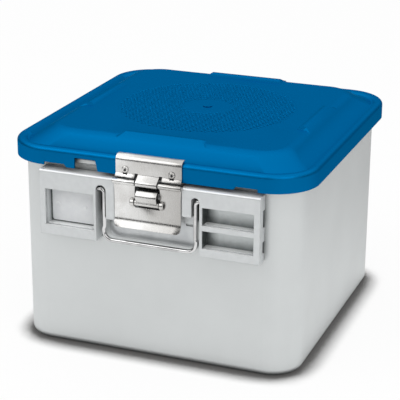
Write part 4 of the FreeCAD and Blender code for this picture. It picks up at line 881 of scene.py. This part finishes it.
down = softened(
    [(PLATE_BACK, HINGE.z), (PLATE_BACK, 144.0), (LIP_REACH, LIP_FOOT)], [9.0], steps=10
)
flat = [
    (PLATE_BACK, z)
    for z in (WINDOW_TOP, 177, 176.5, 175.8, 174.8, 173, 171, 169, 166, 163, WINDOW_FOOT)
]
lip = down[1:-1]
last_y, last_z = down[-1]
bend_y, bend_z = lip[-1]
lip += [
    (bend_y + (last_y - bend_y) * share, bend_z + (last_z - bend_z) * share)
    for share in (0.2, 0.4, 0.55, 0.7, 0.82, 0.92, 0.98, 1.0)
]
wrap = arc((HINGE.y, HINGE.z), PLATE_WRAP, 262, 0, steps=26)
plate_path = wrap + flat + lip
wrap_count = len(wrap)


def plate_half(step, z):
    """Half width of the plate: knuckles, concave draw-in, straight sides, round corners."""
    if step < wrap_count:
        return EAR_HALF
    if z > DRAWN_IN_TO:
        share = (z - DRAWN_IN_TO) / (DRAWN_IN_FROM - DRAWN_IN_TO)
        return PLATE_HALF + (EAR_HALF - PLATE_HALF) * share ** 3
    rise = z - LIP_FOOT
    if rise < LIP_CORNER:
        return PLATE_HALF - LIP_CORNER + math.sqrt(max(LIP_CORNER ** 2 - (LIP_CORNER - rise) ** 2, 0))
    return PLATE_HALF


def in_window(middle, first, second):
    """Whether a face of the plate, given by its middle's share and its heights, is cut out."""
    return abs(middle) * PLATE_HALF < WINDOW_HALF and min(first, second) > WINDOW_FOOT - 0.01


plate = bmesh.new()
window_side = WINDOW_HALF / PLATE_HALF
plate_columns = [-1, -0.8, -0.6, -window_side, 0, window_side, 0.6, 0.8, 1]
plate_rows = lay_sheet(plate, plate_path, plate_columns, plate_half, in_window)
for row in plate_rows:
    for vert, share in zip(row, plate_columns):
        if abs(abs(share) - window_side) < 0.001 and vert.co.z > WINDOW_FOOT - 3:
            rise = min(max((vert.co.z - WINDOW_TOP + WINDOW_CORNER) / WINDOW_CORNER, 0), 1)
            curve = 1 - math.sqrt(1 - rise ** 2)
            half = WINDOW_HALF + (KNUCKLE_START - WINDOW_HALF) * curve
            vert.co.x = LATCH_X + math.copysign(half, share)
clear_loose(plate)
latch_piece("plate_sheet", plate, "front_latch", ["front_latch_plate"], gauge=-PLATE_GAUGE)


# The ears on both sides of the window, which carry the claw pin: turned rings with well
# rounded edges, and the pin's ends in them, black with painted shade.

EAR_LENGTH, EAR_RADIUS, EAR_BORE, PIN_RADIUS = 4, 3.8, 1.75, 1.7
ears = bmesh.new()
for start, end in (
    (WINDOW_HALF, WINDOW_HALF + EAR_LENGTH), (-WINDOW_HALF - EAR_LENGTH, -WINDOW_HALF)
):
    round_bar(ears, CLAW_AXIS, EAR_RADIUS, start, end, hole=EAR_BORE, chamfer=0.6)
latch_piece("plate_ears", ears, "front_latch")
heads = bmesh.new()
pin_half = WINDOW_HALF + EAR_LENGTH + 0.1
round_bar(heads, CLAW_AXIS, PIN_RADIUS, -pin_half, pin_half, chamfer=0.2)
latch_piece("pin_heads", heads, "front_latch", finish=black_and_painted_shade)


# The claw: a strut bent over to its pushing edge, on a barrel that turns on the claw pin.
# Its edge bears on the strike when the latch is closed.

CLAW_HALF, CLAW_GAUGE, BARREL_HALF, BARREL_RADIUS, BARREL_BORE = 10.3, 1.4, 12.1, 2.7, 1.46
claw_path = softened(
    [(-150.7, 174.8), (-157.6, 174.4), (-162.4, 169.6), (-160.0, 163.6)], [2.6, 4.0], steps=8
)
claw = bmesh.new()
lay_sheet(claw, claw_path, [-1, -0.5, 0, 0.5, 1], lambda step, z: CLAW_HALF)
latch_piece("claw_strut", claw, "front_claw", gauge=CLAW_GAUGE)
barrel = bmesh.new()
round_bar(
    barrel, CLAW_AXIS, BARREL_RADIUS, -BARREL_HALF, BARREL_HALF, hole=BARREL_BORE, chamfer=0.3
)
latch_piece("claw_barrel", barrel, "front_claw", ["front_claw"])
